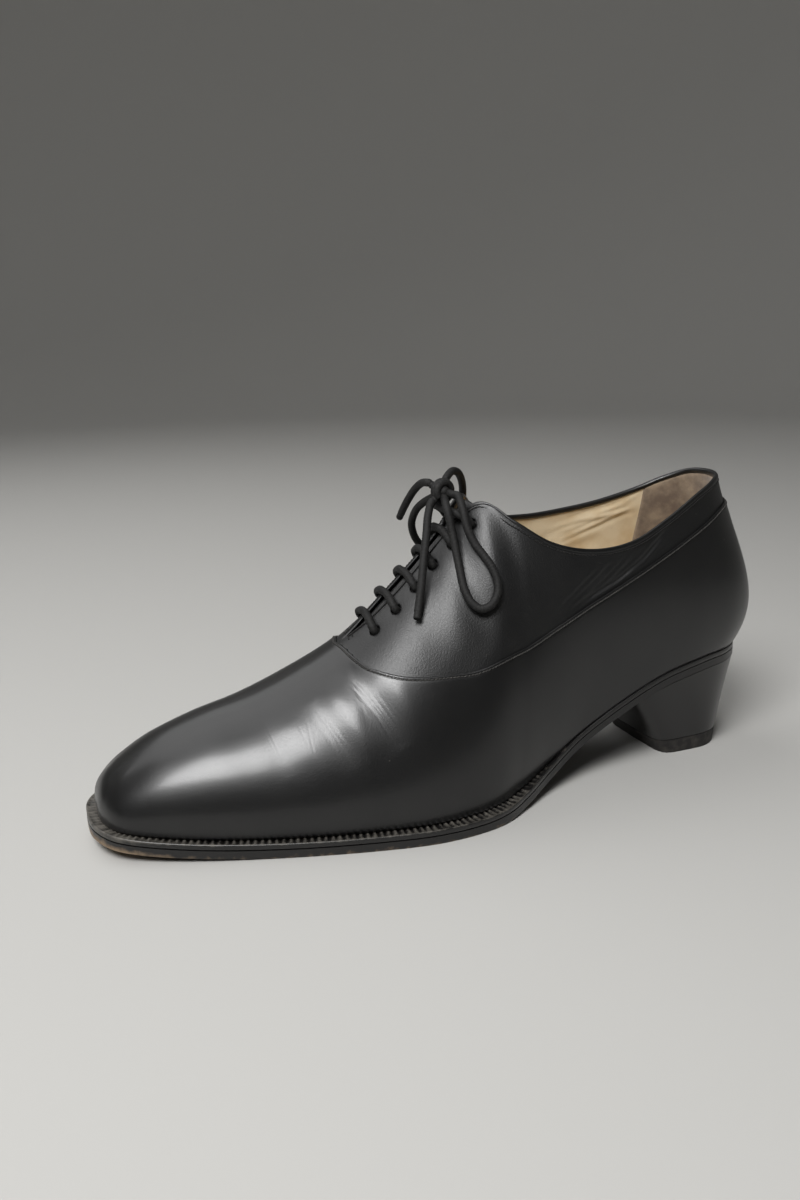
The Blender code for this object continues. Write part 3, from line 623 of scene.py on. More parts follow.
def smooth_route(points, spacing):
    """Evenly spaced points of a smooth curve through a route's own points."""
    points = np.asarray(points, float)
    ends = np.vstack([2 * points[0] - points[1], points, 2 * points[-1] - points[-2]])
    s = np.linspace(1, len(points), CURVE_STEPS * len(points), endpoint=False)
    fine = np.stack([curve_value(np.append(axis, axis[-1]), s) for axis in ends.T], -1)
    fine = np.vstack([fine, points[-1]])
    length = travelled(fine)
    count = max(int(round(length[-1] / spacing)), 3)
    return read_along(fine, length, np.linspace(0, length[-1], count + 1))


SEAM_LINE = smooth_route(SEAM, 0.01)


def seam_level(s):
    """Share of the rib's height where the lower panel ends: the whole rib in front of the throat."""
    return np.interp(row_of(s), SEAM_LINE[:, 0], SEAM_LINE[:, 1])


def section_list(first, last, coarse, fine, zones):
    """Section numbers from first to last: coarse ones for each section, fine ones inside the zones."""
    place = np.linspace(first, last, 100 * CURVE_STEPS + 1)
    density = np.full(len(place), float(coarse))
    for low, high in zones:
        density[(place > low) & (place < high)] = fine
    total = np.concatenate([[0.0], np.cumsum((density[1:] + density[:-1]) / 2 * np.diff(place))])
    return np.interp(np.linspace(0, total[-1], int(round(total[-1])) + 1), total, place)


def edge_shares(rows, edge_steps, height):
    """Shares up a rib: even rows, then closer ones near the edge at the given distances below it."""
    near = 1 - np.array(edge_steps) / height
    return np.concatenate([np.linspace(0, near[0], rows, endpoint=False), near])


def edge_frame(s, h, spacing=0.2 * MM):
    """Even points of a line on the upper, with its direction, the leather's normal and the way down.

    The line runs the way that the sections are numbered.
    """
    point, normal = upper_point(s, h), upper_normal(s, h)
    length = travelled(point)
    even = np.linspace(0, length[-1], int(length[-1] / spacing) + 1)
    point, normal = (read_along(part, length, even) for part in (point, normal))
    normal = unit(normal)
    run = unit(np.gradient(point, axis=0))
    return point, run, normal, unit(np.cross(normal, run))


def seam_frame():
    """The lower panel's edge all the way round: heel, lateral side, throat, medial side, heel."""
    rows, levels = SEAM_LINE.T
    return edge_frame(np.concatenate([rows, ROUND - rows[-2::-1]]), np.concatenate([levels, levels[-2::-1]]))


def nearest_on(line, points):
    """Distance from each point to a line, and the share of the line's length where it is nearest."""
    tree = kdtree.KDTree(len(line))
    for place_on, point in enumerate(line):
        tree.insert(point, place_on)
    tree.balance()
    found = [tree.find(point) for point in points]
    distance = np.array([hit[2] for hit in found])
    share = np.array([hit[1] for hit in found]) / max(len(line) - 1, 1)
    return distance, share


def bell(distance, width):
    """Soft hump of height one."""
    return np.exp(-(distance / width)**2)


def ramp(value, start, width):
    """Share that rises from 0 at a start to 1 over a width."""
    return np.clip((value - start) / width, 0, 1)


def eased(amount, share):
    """Share of an amount, with a soft start and a soft end."""
    return amount * share**2 * (3 - 2 * share)


def crease_height(points, creases):
    """Height that the creases add to each point: soft troughs between low swells, fading out at both ends."""
    total = np.zeros(len(points))
    share = np.linspace(0, 1, CURVE_STEPS)
    for row in creases:
        crease = dict(zip(CREASE_COLUMNS, row))
        s, h = (first + (last - first) * share for first, last in zip(crease["start"], crease["end"]))
        line = smooth_route(upper_point(s, h), 0.2 * MM)
        width = crease["width"] * MM
        reach = CREASE_REACH * width
        near = np.all((points > line.min(axis=0) - reach) & (points < line.max(axis=0) + reach), axis=1)
        if near.any():
            away, along = nearest_on(line, points[near])
            away = away / width
            trough = bell(away, 1.0) - SWELL_HEIGHT * bell(away - SWELL_AWAY, SWELL_WIDTH)
            total[near] -= crease["depth"] * MM * trough * np.sin(math.pi * along)**CREASE_FADE
    return total


# Meshes, by operators

def place(bm, points):
    """Move every vertex to its place in the shoe's frame and weld what meets."""
    for vertex, point in zip(bm.verts, points - ORIGIN):
        vertex.co = point
    bmesh.ops.remove_doubles(bm, verts=bm.verts, dist=WELD)


def laid_sheet(point, along, across):
    """A grid with one vertex for each pair of values of two lists, laid on a surface."""
    bm = bmesh.new()
    columns, rows = len(along) - 1, len(across) - 1
    bmesh.ops.create_grid(bm, x_segments=columns, y_segments=rows, size=0.5)
    flat = np.array([vertex.co[:] for vertex in bm.verts]) + 0.5
    column_of = np.rint(flat[:, 0] * columns).astype(int)
    row = np.rint(flat[:, 1] * rows).astype(int)
    place(bm, point(along[column_of], across[row]))
    return bm


def laid_block(point, cuts):
    """A cut-up cube whose three directions, each 0 to 1, are laid in a solid shape."""
    bm = bmesh.new()
    bmesh.ops.create_cube(bm, size=1.0)
    bmesh.ops.subdivide_edges(bm, edges=bm.edges, cuts=cuts, use_grid_fill=True)
    cube = np.array([vertex.co[:] for vertex in bm.verts]) + 0.5
    place(bm, point(cube[:, 0], cube[:, 1], cube[:, 2]))
    bmesh.ops.recalc_face_normals(bm, faces=bm.faces)
    return bm


def swept_tube(bm, route, radius, sides, relief=None, blunt=0.35):
    """Add a closed round cord along a route: relief(angle, length) is added to its radius."""
    run = unit(np.gradient(route, axis=0))
    side = unit(np.cross(run[0], TUBE_SIDE))
    frames = []
    for direction in run:
        side = unit(side - direction * np.dot(side, direction))
        frames.append((side, np.cross(side, direction)))
    length = travelled(route)
    cap = radius * blunt
    ends = np.minimum(length, length[-1] - length)
    swell = np.sqrt(np.clip(1 - np.clip(1 - ends / cap, 0, 1)**2, 0, 1))
    made = bmesh.ops.create_grid(bm, x_segments=len(route) - 1, y_segments=sides, size=0.5)["verts"]
    flat = np.array([vertex.co[:] for vertex in made]) + 0.5
    ring = np.rint(flat[:, 0] * (len(route) - 1)).astype(int)
    angle = np.rint(flat[:, 1] * sides) * 2 * math.pi / sides
    across, rise = (np.array([pair[which] for pair in frames])[ring] for which in (0, 1))
    size = radius + (relief(angle, length[ring]) if relief else 0.0)
    size = (size * swell[ring])[:, None]
    points = route[ring] + (across * np.cos(angle)[:, None] + rise * np.sin(angle)[:, None]) * size
    for vertex, point in zip(made, points - ORIGIN):
        vertex.co = point
    bmesh.ops.remove_doubles(bm, verts=made, dist=TUBE_WELD)


def sharp_smooth(mesh, angle):
    """Shade a mesh smooth, with edges sharper than an angle kept."""
    mesh.shade_smooth()
    mesh.set_sharp_from_angle(angle=math.radians(angle))


def add_piece(name, bm, materials, nodes=(), sharp_angle=50):
    """Make an object of a bmesh that rides on the shoe, with its materials and the solids it stands for."""
    mesh = bpy.data.meshes.new(name)
    bm.to_mesh(mesh)
    bm.free()
    sharp_smooth(mesh, sharp_angle)
    for material in materials:
        mesh.materials.append(material)
    piece = bpy.data.objects.new(name, mesh)
    bpy.context.scene.collection.objects.link(piece)
    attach(piece, "root")
    if nodes:
        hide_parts(*nodes)
    return piece


def add_wall(piece, thickness, inner_material=0):
    """Give an open surface a wall on its inner side."""
    modifier = piece.modifiers.new("Wall", "SOLIDIFY")
    modifier.thickness = thickness
    modifier.offset = -1.0
    modifier.use_quality_normals = True
    modifier.material_offset = inner_material
    return modifier


def paint(piece, name, values):
    """Store one number for each vertex, for the material to read."""
    attribute = piece.data.attributes.new(name, "FLOAT", "POINT")
    attribute.data.foreach_set("value", np.asarray(values, np.float32))


def vertex_places(piece):
    """Vertices of a piece on the last."""
    places = np.empty(3 * len(piece.data.vertices))
    piece.data.vertices.foreach_get("co", places)
    return places.reshape(-1, 3) + ORIGIN


# Materials

def set_inputs(tree, item, inputs):
    """Give a node's inputs their numbers, their colours or the outputs that feed them."""
    for socket, value in inputs.items():
        if isinstance(value, bpy.types.NodeSocket):
            tree.links.new(value, item.inputs[socket])
        else:
            item.inputs[socket].default_value = value


def add_node(tree, kind, inputs=None, **settings):
    """Add one node: settings are its own values, inputs are numbers, colours or the outputs that feed it."""
    item = tree.nodes.new(kind)
    for name, value in settings.items():
        setattr(item, name, value)
    set_inputs(tree, item, inputs or {})
    return item


def new_material(name):
    """An empty Principled material, with its node tree, its shader and the place that its patterns read."""
    material = bpy.data.materials.new(name)
    material.use_nodes = True
    tree = material.node_tree
    spot = add_node(tree, "ShaderNodeTexCoord").outputs["Object"]
    return material, tree, tree.nodes["Principled BSDF"], spot


def rgba(colour):
    """Colour of a setting, or a hex colour, with full alpha."""
    return (*(to_linear(colour) if isinstance(colour, str) else colour), 1.0)


def mottled(name, tones, clouds, span, grain, bump):
    """Material of two tones in clouds under a fine bumpy grain: its parts, and the colour that it shows.

    The clouds have a size, a detail and a roughness, the span is where one tone turns into the other, the
    grain has a size and a detail, and the bump a strength and a height.
    """
    material, tree, shader, spot = new_material(name)
    size, detail, roughness = clouds
    cloud = add_node(tree, "ShaderNodeTexNoise", {
        "Vector": spot, "Scale": 1 / size, "Detail": detail, "Roughness": roughness})
    patch = add_node(tree, "ShaderNodeMapRange", {
        "Value": cloud.outputs[0], "From Min": span[0], "From Max": span[1]})
    tone = add_node(tree, "ShaderNodeMix", {
        0: patch.outputs[0], 6: rgba(tones[0]), 7: rgba(tones[1])}, data_type="RGBA").outputs[2]
    fine = add_node(tree, "ShaderNodeTexNoise", {"Vector": spot, "Scale": 1 / grain[0], "Detail": grain[1]})
    skin = add_node(tree, "ShaderNodeBump", {
        "Height": fine.outputs[0], "Strength": bump[0], "Distance": bump[1]})
    set_inputs(tree, shader, {"Base Color": tone, "Normal": skin.outputs[0]})
    return material, tree, shader, tone


def grained_leather(name, colour, worn, grain, depth, gloss):
    """Chrome-tanned calf, dyed through and glazed: satin gloss broken by pores, clouds of tone, stray dust.

    Real pores are about 0.15 mm apart, too fine to show, so the grain is drawn three to five times as coarse.
    """
    roughness, coat, coat_roughness = gloss
    material, tree, shader, spot = new_material(name)
    pores = add_node(tree, "ShaderNodeTexVoronoi", {
        "Vector": spot, "Scale": 1 / grain, "Randomness": 1.0}, feature="SMOOTH_F1")
    fibres = add_node(tree, "ShaderNodeTexNoise", {
        "Vector": spot, "Scale": 1 / (0.9 * grain), "Detail": 3.0, "Roughness": 0.55})
    tone = add_node(tree, "ShaderNodeTexNoise", {"Vector": spot, "Scale": 1 / (14 * MM), "Detail": 3.0})
    shade = add_node(tree, "ShaderNodeMapRange", {
        "Value": tone.outputs[0], "From Min": 0.35, "From Max": 0.75})
    dyed = add_node(tree, "ShaderNodeMix", {
        0: shade.outputs[0], 6: rgba(colour), 7: rgba(worn)}, data_type="RGBA")
    dust = add_node(tree, "ShaderNodeTexVoronoi", {"Vector": spot, "Scale": 1 / (13 * MM), "Randomness": 1.0})
    fleck = add_node(tree, "ShaderNodeMath", {0: dust.outputs["Distance"], 1: 0.012}, operation="LESS_THAN")
    chosen = add_node(tree, "ShaderNodeSeparateColor", {"Color": dust.outputs["Color"]})
    rare = add_node(tree, "ShaderNodeMath", {0: chosen.outputs[0], 1: 0.8}, operation="GREATER_THAN")
    speck = add_node(tree, "ShaderNodeMath", {0: fleck.outputs[0], 1: rare.outputs[0]}, operation="MULTIPLY")
    dusty = add_node(tree, "ShaderNodeMix", {
        0: speck.outputs[0], 6: dyed.outputs[2], 7: rgba("#77746e")}, data_type="RGBA")
    shine = add_node(tree, "ShaderNodeMapRange", {
        "Value": fibres.outputs[0], "From Min": 0.3, "From Max": 0.7,
        "To Min": roughness - 0.05, "To Max": roughness + 0.07})
    grain_bump = add_node(tree, "ShaderNodeBump", {
        "Height": pores.outputs["Distance"], "Strength": 0.55, "Distance": depth})
    skin = add_node(tree, "ShaderNodeBump", {
        "Height": fibres.outputs[0], "Strength": 0.5, "Distance": depth, "Normal": grain_bump.outputs[0]})
    set_inputs(tree, shader, {
        "Base Color": dusty.outputs[2], "Roughness": shine.outputs[0], "Normal": skin.outputs[0],
        "IOR": 1.5, "Coat Weight": coat, "Coat Roughness": coat_roughness})
    return material


def lining_leather(colour, handled):
    """Vegetable-tanned lining: pale tan, matt and creamy, darker where handled, with shade painted near black
    round the eyelets.

    Its pores are drawn twice as coarse as they are, because real ones are too fine to show.
    """
    material, tree, shader, tan = mottled(
        "natural_lining_leather", (colour, handled), (9 * MM, 5.0, 0.5), (0.42, 0.72),
        (0.5 * MM, 3.0), (0.35, 0.08 * MM))
    # Painted shade: near black (#0b0908) is mixed in for the shade behind the facings and in the eyelets.
    inked = add_node(tree, "ShaderNodeAttribute", attribute_name="inked")
    with_painted_shade = add_node(tree, "ShaderNodeMix", {
        0: inked.outputs["Fac"], 6: tan, 7: rgba("#0b0908")}, data_type="RGBA")
    set_inputs(tree, shader, {"Base Color": with_painted_shade.outputs[2], "Roughness": 0.55, "IOR": 1.45})
    return material


def suede(colour, rubbed):
    """Reversed split leather: brushed nap with no gloss, paler where the heel has rubbed it.

    The nap's fibres are far finer than the tufts drawn here, which are as coarse as they need to be to show.
    """
    material, tree, shader, _ = mottled(
        "heel_grip_suede", (colour, rubbed), (7 * MM, 6.0, 0.6), (0.38, 0.68),
        (0.35 * MM, 4.0), (0.6, 0.15 * MM))
    set_inputs(tree, shader, {"Roughness": 0.95, "Sheen Weight": 0.35, "Sheen Roughness": 0.5})
    return material


def edge_leather(name, colour, wear_and_highlight_colour, gloss, strength):
    """Veg-tanned edge, inked black and waxed: glossy, with the ink rubbed off and, on the welt, a painted
    highlight.
    """
    material, tree, shader, spot = new_material(name)
    wear = add_node(tree, "ShaderNodeAttribute", attribute_name="wear")
    breakup = add_node(tree, "ShaderNodeTexNoise", {
        "Vector": spot, "Scale": 1 / (2.6 * MM), "Detail": 6.0, "Roughness": 0.65})
    # Painted highlight: on the welt this mark also makes the lip and notch crowns paler, besides real
    # rubbing.
    rubbed = add_node(tree, "ShaderNodeMath", {
        0: breakup.outputs[0], 1: wear.outputs["Fac"]}, operation="ADD")
    mask = add_node(tree, "ShaderNodeMapRange", {
        "Value": rubbed.outputs[0], "From Min": 0.78, "From Max": 1.15, "To Max": strength})
    ink = add_node(tree, "ShaderNodeMix", {
        0: mask.outputs[0], 6: rgba(colour), 7: rgba(wear_and_highlight_colour)}, data_type="RGBA")
    shine = add_node(tree, "ShaderNodeMapRange", {
        "Value": mask.outputs[0], "To Min": gloss, "To Max": gloss + 0.3})
    scrape = add_node(tree, "ShaderNodeTexNoise", {"Vector": spot, "Scale": 1 / (0.7 * MM), "Detail": 4.0})
    skin = add_node(tree, "ShaderNodeBump", {
        "Height": scrape.outputs[0], "Strength": 0.3, "Distance": 0.12 * MM})
    set_inputs(tree, shader, {
        "Base Color": ink.outputs[2], "Roughness": shine.outputs[0], "Normal": skin.outputs[0],
        "IOR": 1.5, "Coat Weight": 0.2, "Coat Roughness": 0.25})
    return material


def heel_rubber(colour, scuffed):
    """Moulded rubber: matt, slightly pitted, greyed by the ground."""
    material, tree, shader, _ = mottled(
        "top_piece_rubber", (colour, scuffed), (3 * MM, 6.0, 0.5), (0.45, 0.75),
        (0.4 * MM, 2.0), (0.4, 0.1 * MM))
    set_inputs(tree, shader, {"Roughness": 0.7})
    return material


def waxed_cotton(name, colour, lint):
    """Braided cotton, dyed black and waxed: dull charcoal with paler lint on the crowns of the strands.

    Single fibres are too fine to show, so the lint is drawn in tufts of 0.6 mm.
    """
    tuft = 0.6 * MM
    material, tree, shader, _ = mottled(
        name, (colour, lint), (tuft, 4.0, 0.5), (0.4, 0.75), (tuft, 4.0), (0.5, 0.1 * MM))
    set_inputs(tree, shader, {"Roughness": 0.72, "Specular IOR Level": 0.35})
    return material


def plain_matt(name, colour, roughness):
    """Painted studio paper: even and matt, with a faint tooth."""
    material, tree, shader, spot = new_material(name)
    paper = add_node(tree, "ShaderNodeTexNoise", {"Vector": spot, "Scale": 1 / (1.5 * MM), "Detail": 3.0})
    tooth = add_node(tree, "ShaderNodeBump", {
        "Height": paper.outputs[0], "Strength": 0.12, "Distance": 0.1 * MM})
    set_inputs(tree, shader, {"Normal": tooth.outputs[0], "Base Color": rgba(colour), "Roughness": roughness})
    return material


# Settings

class ShoeLeather(bpy.types.PropertyGroup):
    """Colours and thicknesses of the leather."""

    calf: bpy.props.FloatVectorProperty(
        name="Vamp", description="Polished black calf of the lower panel", subtype="COLOR",
        default=to_linear("#0a0a0b"), min=0.0, max=1.0)
    calf_worn: bpy.props.FloatVectorProperty(
        name="Vamp Worn", description="The same calf where the dye is thinner", subtype="COLOR",
        default=to_linear("#101010"), min=0.0, max=1.0)
    soft_calf: bpy.props.FloatVectorProperty(
        name="Quarters", description="Softer, grainier black calf of the quarters", subtype="COLOR",
        default=to_linear("#0c0c0d"), min=0.0, max=1.0)
    lining: bpy.props.FloatVectorProperty(
        name="Lining", description="Natural tan lining leather", subtype="COLOR",
        default=to_linear("#ddcbab"), min=0.0, max=1.0)
    lining_shadow: bpy.props.FloatVectorProperty(
        name="Lining Handled", description="Lining where it is handled", subtype="COLOR",
        default=to_linear("#cdb48d"), min=0.0, max=1.0)
    grip: bpy.props.FloatVectorProperty(
        name="Heel Grip", description="Taupe suede inside the back", subtype="COLOR",
        default=to_linear("#6c5c4e"), min=0.0, max=1.0)
    vamp_lift: bpy.props.FloatProperty(
        name="Vamp Lift", description="How far the lower panel stands above the last", unit="LENGTH",
        default=0.35 * MM)
    quarter_lift: bpy.props.FloatProperty(
        name="Quarter Lift", description="How far the quarters stand above the last", unit="LENGTH",
        default=-0.45 * MM)
    thickness: bpy.props.FloatProperty(
        name="Thickness", description="Thickness of the outer leather", unit="LENGTH", default=0.7 * MM)
    binding: bpy.props.FloatProperty(
        name="Binding", description="Height of the bound edge of the collar", unit="LENGTH", default=1.5 * MM)


class ShoeSewing(bpy.types.PropertyGroup):
    """Sizes and colour of the stitching."""

    pitch: bpy.props.FloatProperty(
        name="Pitch", description="Length of one stitch with its gap", unit="LENGTH", default=1.25 * MM)
    thread: bpy.props.FloatProperty(
        name="Thread", description="Thickness of the thread", unit="LENGTH", default=0.46 * MM)
    inset: bpy.props.FloatProperty(
        name="Inset", description="Distance of a stitch row from its edge", unit="LENGTH", default=1.05 * MM)
    colour: bpy.props.FloatVectorProperty(
        name="Thread Colour", description="Colour of the thread", subtype="COLOR",
        default=to_linear("#292827"),
        min=0.0, max=1.0)


class ShoeLacing(bpy.types.PropertyGroup):
    """Sizes and colours of lace and eyelets."""

    diameter: bpy.props.FloatProperty(
        name="Lace", description="Diameter of the round lace", unit="LENGTH", default=LACE_DIAMETER)
    hole: bpy.props.FloatProperty(
        name="Eyelet", description="Radius of a punched eyelet", unit="LENGTH", default=1.9 * MM)
    strands: bpy.props.IntProperty(
        name="Strands", description="Strands of the braid that cross on one ring", default=8, min=2)
    braid: bpy.props.FloatProperty(
        name="Braid", description="Length of one crossing of the braid", unit="LENGTH", default=1.1 * MM)
    relief: bpy.props.FloatProperty(
        name="Relief", description="Height of a strand of the braid", unit="LENGTH", default=0.06 * MM)
    colour: bpy.props.FloatVectorProperty(
        name="Cotton", description="Colour of the lace", subtype="COLOR", default=to_linear("#0e0e0e"),
        min=0.0, max=1.0)


class ShoeSole(bpy.types.PropertyGroup):
    """Sizes and colours of welt, sole and heel."""

    notch: bpy.props.FloatProperty(
        name="Notch Pitch", description="Distance between the wheeled notches of the welt", unit="LENGTH",
        default=2.3 * MM)
    notch_depth: bpy.props.FloatProperty(
        name="Notch Depth", description="Depth of a notch", unit="LENGTH", default=0.75 * MM)
    edge: bpy.props.FloatProperty(
        name="Edge", description="Rounding of the sole's edges", unit="LENGTH", default=0.5 * MM)
    ink: bpy.props.FloatVectorProperty(
        name="Edge Ink", description="Black ink of welt, sole edge and heel", subtype="COLOR",
        default=to_linear("#131212"), min=0.0, max=1.0)
    bare: bpy.props.FloatVectorProperty(
        name="Bare Leather", description="Sole leather where the ink is worn off", subtype="COLOR",
        default=to_linear("#7c6a56"), min=0.0, max=1.0)


class ShoeStage(bpy.types.PropertyGroup):
    """Floor, lamps and room."""

    floor: bpy.props.FloatVectorProperty(
        name="Floor", description="Pale studio floor", subtype="COLOR", default=to_linear("#b4b3b0"),
        min=0.0, max=1.0)
    key: bpy.props.FloatProperty(
        name="Key", description="Power of the lamp above the camera", unit="POWER", default=12.0)
    fill: bpy.props.FloatProperty(
        name="Fill", description="Power of the lamp behind the shoe", unit="POWER", default=4.0)
    room: bpy.props.FloatProperty(
        name="Room", description="Power of the wide lamp overhead", unit="POWER", default=8.0)
    ambient: bpy.props.FloatProperty(name="Ambient", description="Strength of the room's light", default=0.14)


class ShoeLooks(bpy.types.PropertyGroup):
    """All settings of the shoe."""

    leather: bpy.props.PointerProperty(type=ShoeLeather)
    sewing: bpy.props.PointerProperty(type=ShoeSewing)
    lacing: bpy.props.PointerProperty(type=ShoeLacing)
    sole: bpy.props.PointerProperty(type=ShoeSole)
    stage: bpy.props.PointerProperty(type=ShoeStage)


# Shapes of single pieces

def rounded_edge(distance, width, drop):
    """Height lost near a cut edge, so that it looks turned and not sliced."""
    return -drop * np.clip(1 - distance / width, 0, 1)**2


def vamp_mesh(looks):
    """Lower panel: toe, sides and back in one, from the welt up to its lapped edge."""
    seam, _, _, _ = seam_frame()
    ridge = top_point(np.linspace(SEAM_END, TOE_ROW, RIDGE_POINTS))
    half = section_list(0, TOE_ROW, *VAMP_COLUMNS, VAMP_ZONES)
    s_list = np.concatenate([half, ROUND - half[-2::-1]])[::-1]
    shares = edge_shares(VAMP_ROWS, VAMP_EDGE_ROWS, VAMP_RIB)

    def point(s, share):
        row = row_of(s)
        even = np.interp(share, shares, np.linspace(0, 1, len(shares)))
        level = seam_level(s) * (share + (even - share) * ramp(row, *EVEN_ROWS_FROM))
        base = upper_point(s, level)
        away, _ = nearest_on(seam, base)
        lift = looks.leather.vamp_lift + rounded_edge(away, *VAMP_TURNED_EDGE)
        lift -= VAMP_GROOVE * bell(away - looks.sewing.inset, GROOVE_WIDTH)
        lift += crease_height(base, VAMP_CREASES)
        from_ridge, _ = nearest_on(ridge, base)
        keel = curve_value(LAST["drop"], s) / curve_value(LAST["reach"], s)
        lift -= keel * (np.hypot(from_ridge, RIDGE_ROUNDING) - from_ridge) * ramp(row, *ROUNDED_FROM)
        ridge_share = ramp(level, *RIDGE_BAND) * (row > SEAM_END)
        steady = np.minimum(level, 1 - STEADY_DROP * ramp(row, *STEADY_FROM))
        normal = upper_normal(s, steady) + upper_normal(ROUND - s, steady) * ridge_share[:, None]
        return base + unit(normal) * lift[:, None]

    bm = laid_sheet(point, s_list, shares)
    round_toe(bm, ridge[-1] - ORIGIN)
    return bm


def round_toe(bm, tip):
    """Put an even patch in place of the crowded end of the ridge, smooth with what lies round it."""
    inner, outer = TOE_PATCH
    middle = Vector(tip)
    crowded = [face for face in bm.faces if (face.calc_center_median() - middle).length < inner]
    bmesh.ops.delete(bm, geom=crowded, context="FACES")
    borders = [edge for edge in bm.edges if edge.is_boundary]
    rim = [edge for edge in borders if (edge.verts[0].co - middle).length < TOE_RIM_REACH * inner]
    for step in range(TOE_RINGS, 0, -1):
        made = bmesh.ops.extrude_edge_only(bm, edges=rim)["geom"]
        ring = [item for item in made if isinstance(item, bmesh.types.BMVert)]
        rim = [item for item in made if isinstance(item, bmesh.types.BMEdge) and item.is_boundary]
        for vertex in ring:
            vertex.co = middle.lerp(vertex.co, (step - 1) / step)
    bmesh.ops.pointmerge(bm, verts=ring, merge_co=middle)
    away = np.array([vertex.co[:] for vertex in bm.verts]) - tip
    ahead, aside, height = (away @ np.array(axis) for axis in (TOE_AHEAD, (0.0, 1.0, 0.0), TOE_FACING))
    flat = np.hypot(ahead, aside)
    powers = [(i, j) for i in range(TOE_FIT_ORDER + 1) for j in range(TOE_FIT_ORDER + 1 - i)]
    terms = np.stack([(ahead / outer)**i * (aside / outer)**j for i, j in powers], -1)
    patch = (np.linalg.norm(away, axis=1) < TOE_FIT_REACH * outer) & (flat < outer)
    sample = patch & (flat > inner)
    fit = np.linalg.lstsq(terms[sample], height[sample], rcond=None)[0]
    blend = ramp(outer - flat, 0, TOE_BLEND * (outer - inner))
    change = np.where(patch, eased(terms @ fit - height, blend), 0.0)
    for vertex, rise in zip(bm.verts, change):
        vertex.co += Vector(TOE_FACING) * rise


def eyelet(pair, side_row):
    """Centre of one eyelet on the leather, its normal and the way down to it from the facing edge."""
    row = facing_row(FIRST_EYELET + EYELET_PITCH * pair)
    levels = eyelet_levels(row, pair, 2)
    s = np.array((row if side_row < TOE_ROW else ROUND - row,))
    centre, normal = upper_point(s, levels[-1])[0], upper_normal(s, levels[-1])[0]
    edge = upper_point(s, 1.0)[0]
    return centre, normal, unit(centre - edge)


def facing_row(distance):
    """Section number at a distance along the facing edge from the base of the throat."""
    rows = np.linspace(THROAT_ROW, FACING_TOP_ROW, CURVE_STEPS * (THROAT_ROW - FACING_TOP_ROW) + 1)
    return float(np.interp(distance, travelled(top_point(rows)), rows))


def eyelet_levels(row, pair, count):
    """Shares of the rib from the facing edge to its eyelet. Pairs are nearer the edge towards the top."""
    lowest, highest = EYELET_INSETS
    inset = lowest + (highest - lowest) * pair / LACE_BARS
    h = np.linspace(1, 0, CURVE_STEPS * RIB_ROWS + 1)
    rib = upper_point(np.full(len(h), row), h)
    return np.interp(np.linspace(0, inset, count), travelled(rib), h)


def all_eyelets():
    """Every eyelet, from the throat up, lateral and medial in turn."""
    return [eyelet(pair, side_row) for pair in range(LACE_BARS + 1) for side_row in (0, ROUND)]


def punch(bm, centre, normal, radius):
    """Cut a round hole in a sheet: finer faces, then out with those inside, and the rim drawn to a circle."""
    centre, normal = Vector(centre - ORIGIN), Vector(normal)
    middles = {edge: (edge.verts[0].co + edge.verts[1].co) / 2 for edge in bm.edges}
    near = [edge for edge, middle in middles.items() if (middle - centre).length < PUNCH_REACH * radius]
    bmesh.ops.subdivide_edges(bm, edges=near, cuts=1, use_grid_fill=True)
    inside = [face for face in bm.faces if (face.calc_center_median() - centre).length < radius]
    rim = {vertex for face in inside for vertex in face.verts}
    bmesh.ops.delete(bm, geom=inside, context="FACES")
    for vertex in rim:
        if vertex.is_valid:
            away = vertex.co - centre
            height = away.dot(normal)
            flat = away - normal * height
            vertex.co = centre + flat.normalized() * radius + normal * (height - EYELET_SINK)


def quarters_mesh(looks):
    """Both quarters in one sheet round the back, with turned edges and punched eyelets."""
    half = section_list(0, QUARTER_END, *QUARTER_COLUMNS, QUARTER_ZONES)
    s_list = np.concatenate([-half[::-1], half[1:]])[::-1]
    shares = edge_shares(QUARTER_ROWS, QUARTER_EDGE_ROWS, QUARTER_RIB)
    facing = facing_lines()
    holes = all_eyelets()

    def point(s, share):
        low = np.maximum(seam_level(s) - QUARTER_UNDERLAP, QUARTER_LOWEST)
        level = low + (facing_level(s) - low) * share
        base = upper_point(s % ROUND, level)
        away, _ = nearest_on(facing, base)
        lift = looks.leather.quarter_lift + rounded_edge(away, *QUARTER_TURNED_EDGE)
        lift -= QUARTER_GROOVE * bell(away - FACING_ROW_INSET * looks.sewing.inset, GROOVE_WIDTH)
        lift += crease_height(base, QUARTER_CREASES)
        for centre, _, _ in holes:
            lift -= EYELET_DISH[0] * bell(np.linalg.norm(base - centre, axis=1), EYELET_DISH[1])
        return base + upper_normal(s % ROUND, level) * lift[:, None]

    bm = laid_sheet(point, s_list, shares)
    for centre, normal, _ in holes:
        punch(bm, centre, normal, looks.lacing.hole)
    bmesh.ops.dissolve_degenerate(bm, edges=bm.edges, dist=WELD / 4)
    return bm


def facing_level(s):
    """Share of the rib's height where the quarters end: cut back at the facings, so that the tongue shows."""
    row = row_of(s)
    opens, closes = ramp(row, *FACING_OPENS), ramp(THROAT_ROW - row, 0, FACING_CLOSES)
    return 1 - FACING_CUT * opens * closes


def both_sides(rows, levels):
    """One line on the lateral and on the medial side of the upper."""
    return np.vstack([upper_point(rows, levels), upper_point(ROUND - rows, levels)])


def facing_lines():
    """Both facing edges, from the throat to just round the top corner."""
    rows = np.linspace(FACING_TOP_ROW - FACING_ROUND, THROAT_ROW, FACING_POINTS)
    return both_sides(rows, facing_level(rows))


def collar_sections(end=COLLAR_END):
    """Section numbers along the collar, from the lateral facing round the back to the medial one."""
    return np.linspace(end, -end, COLLAR_POINTS)


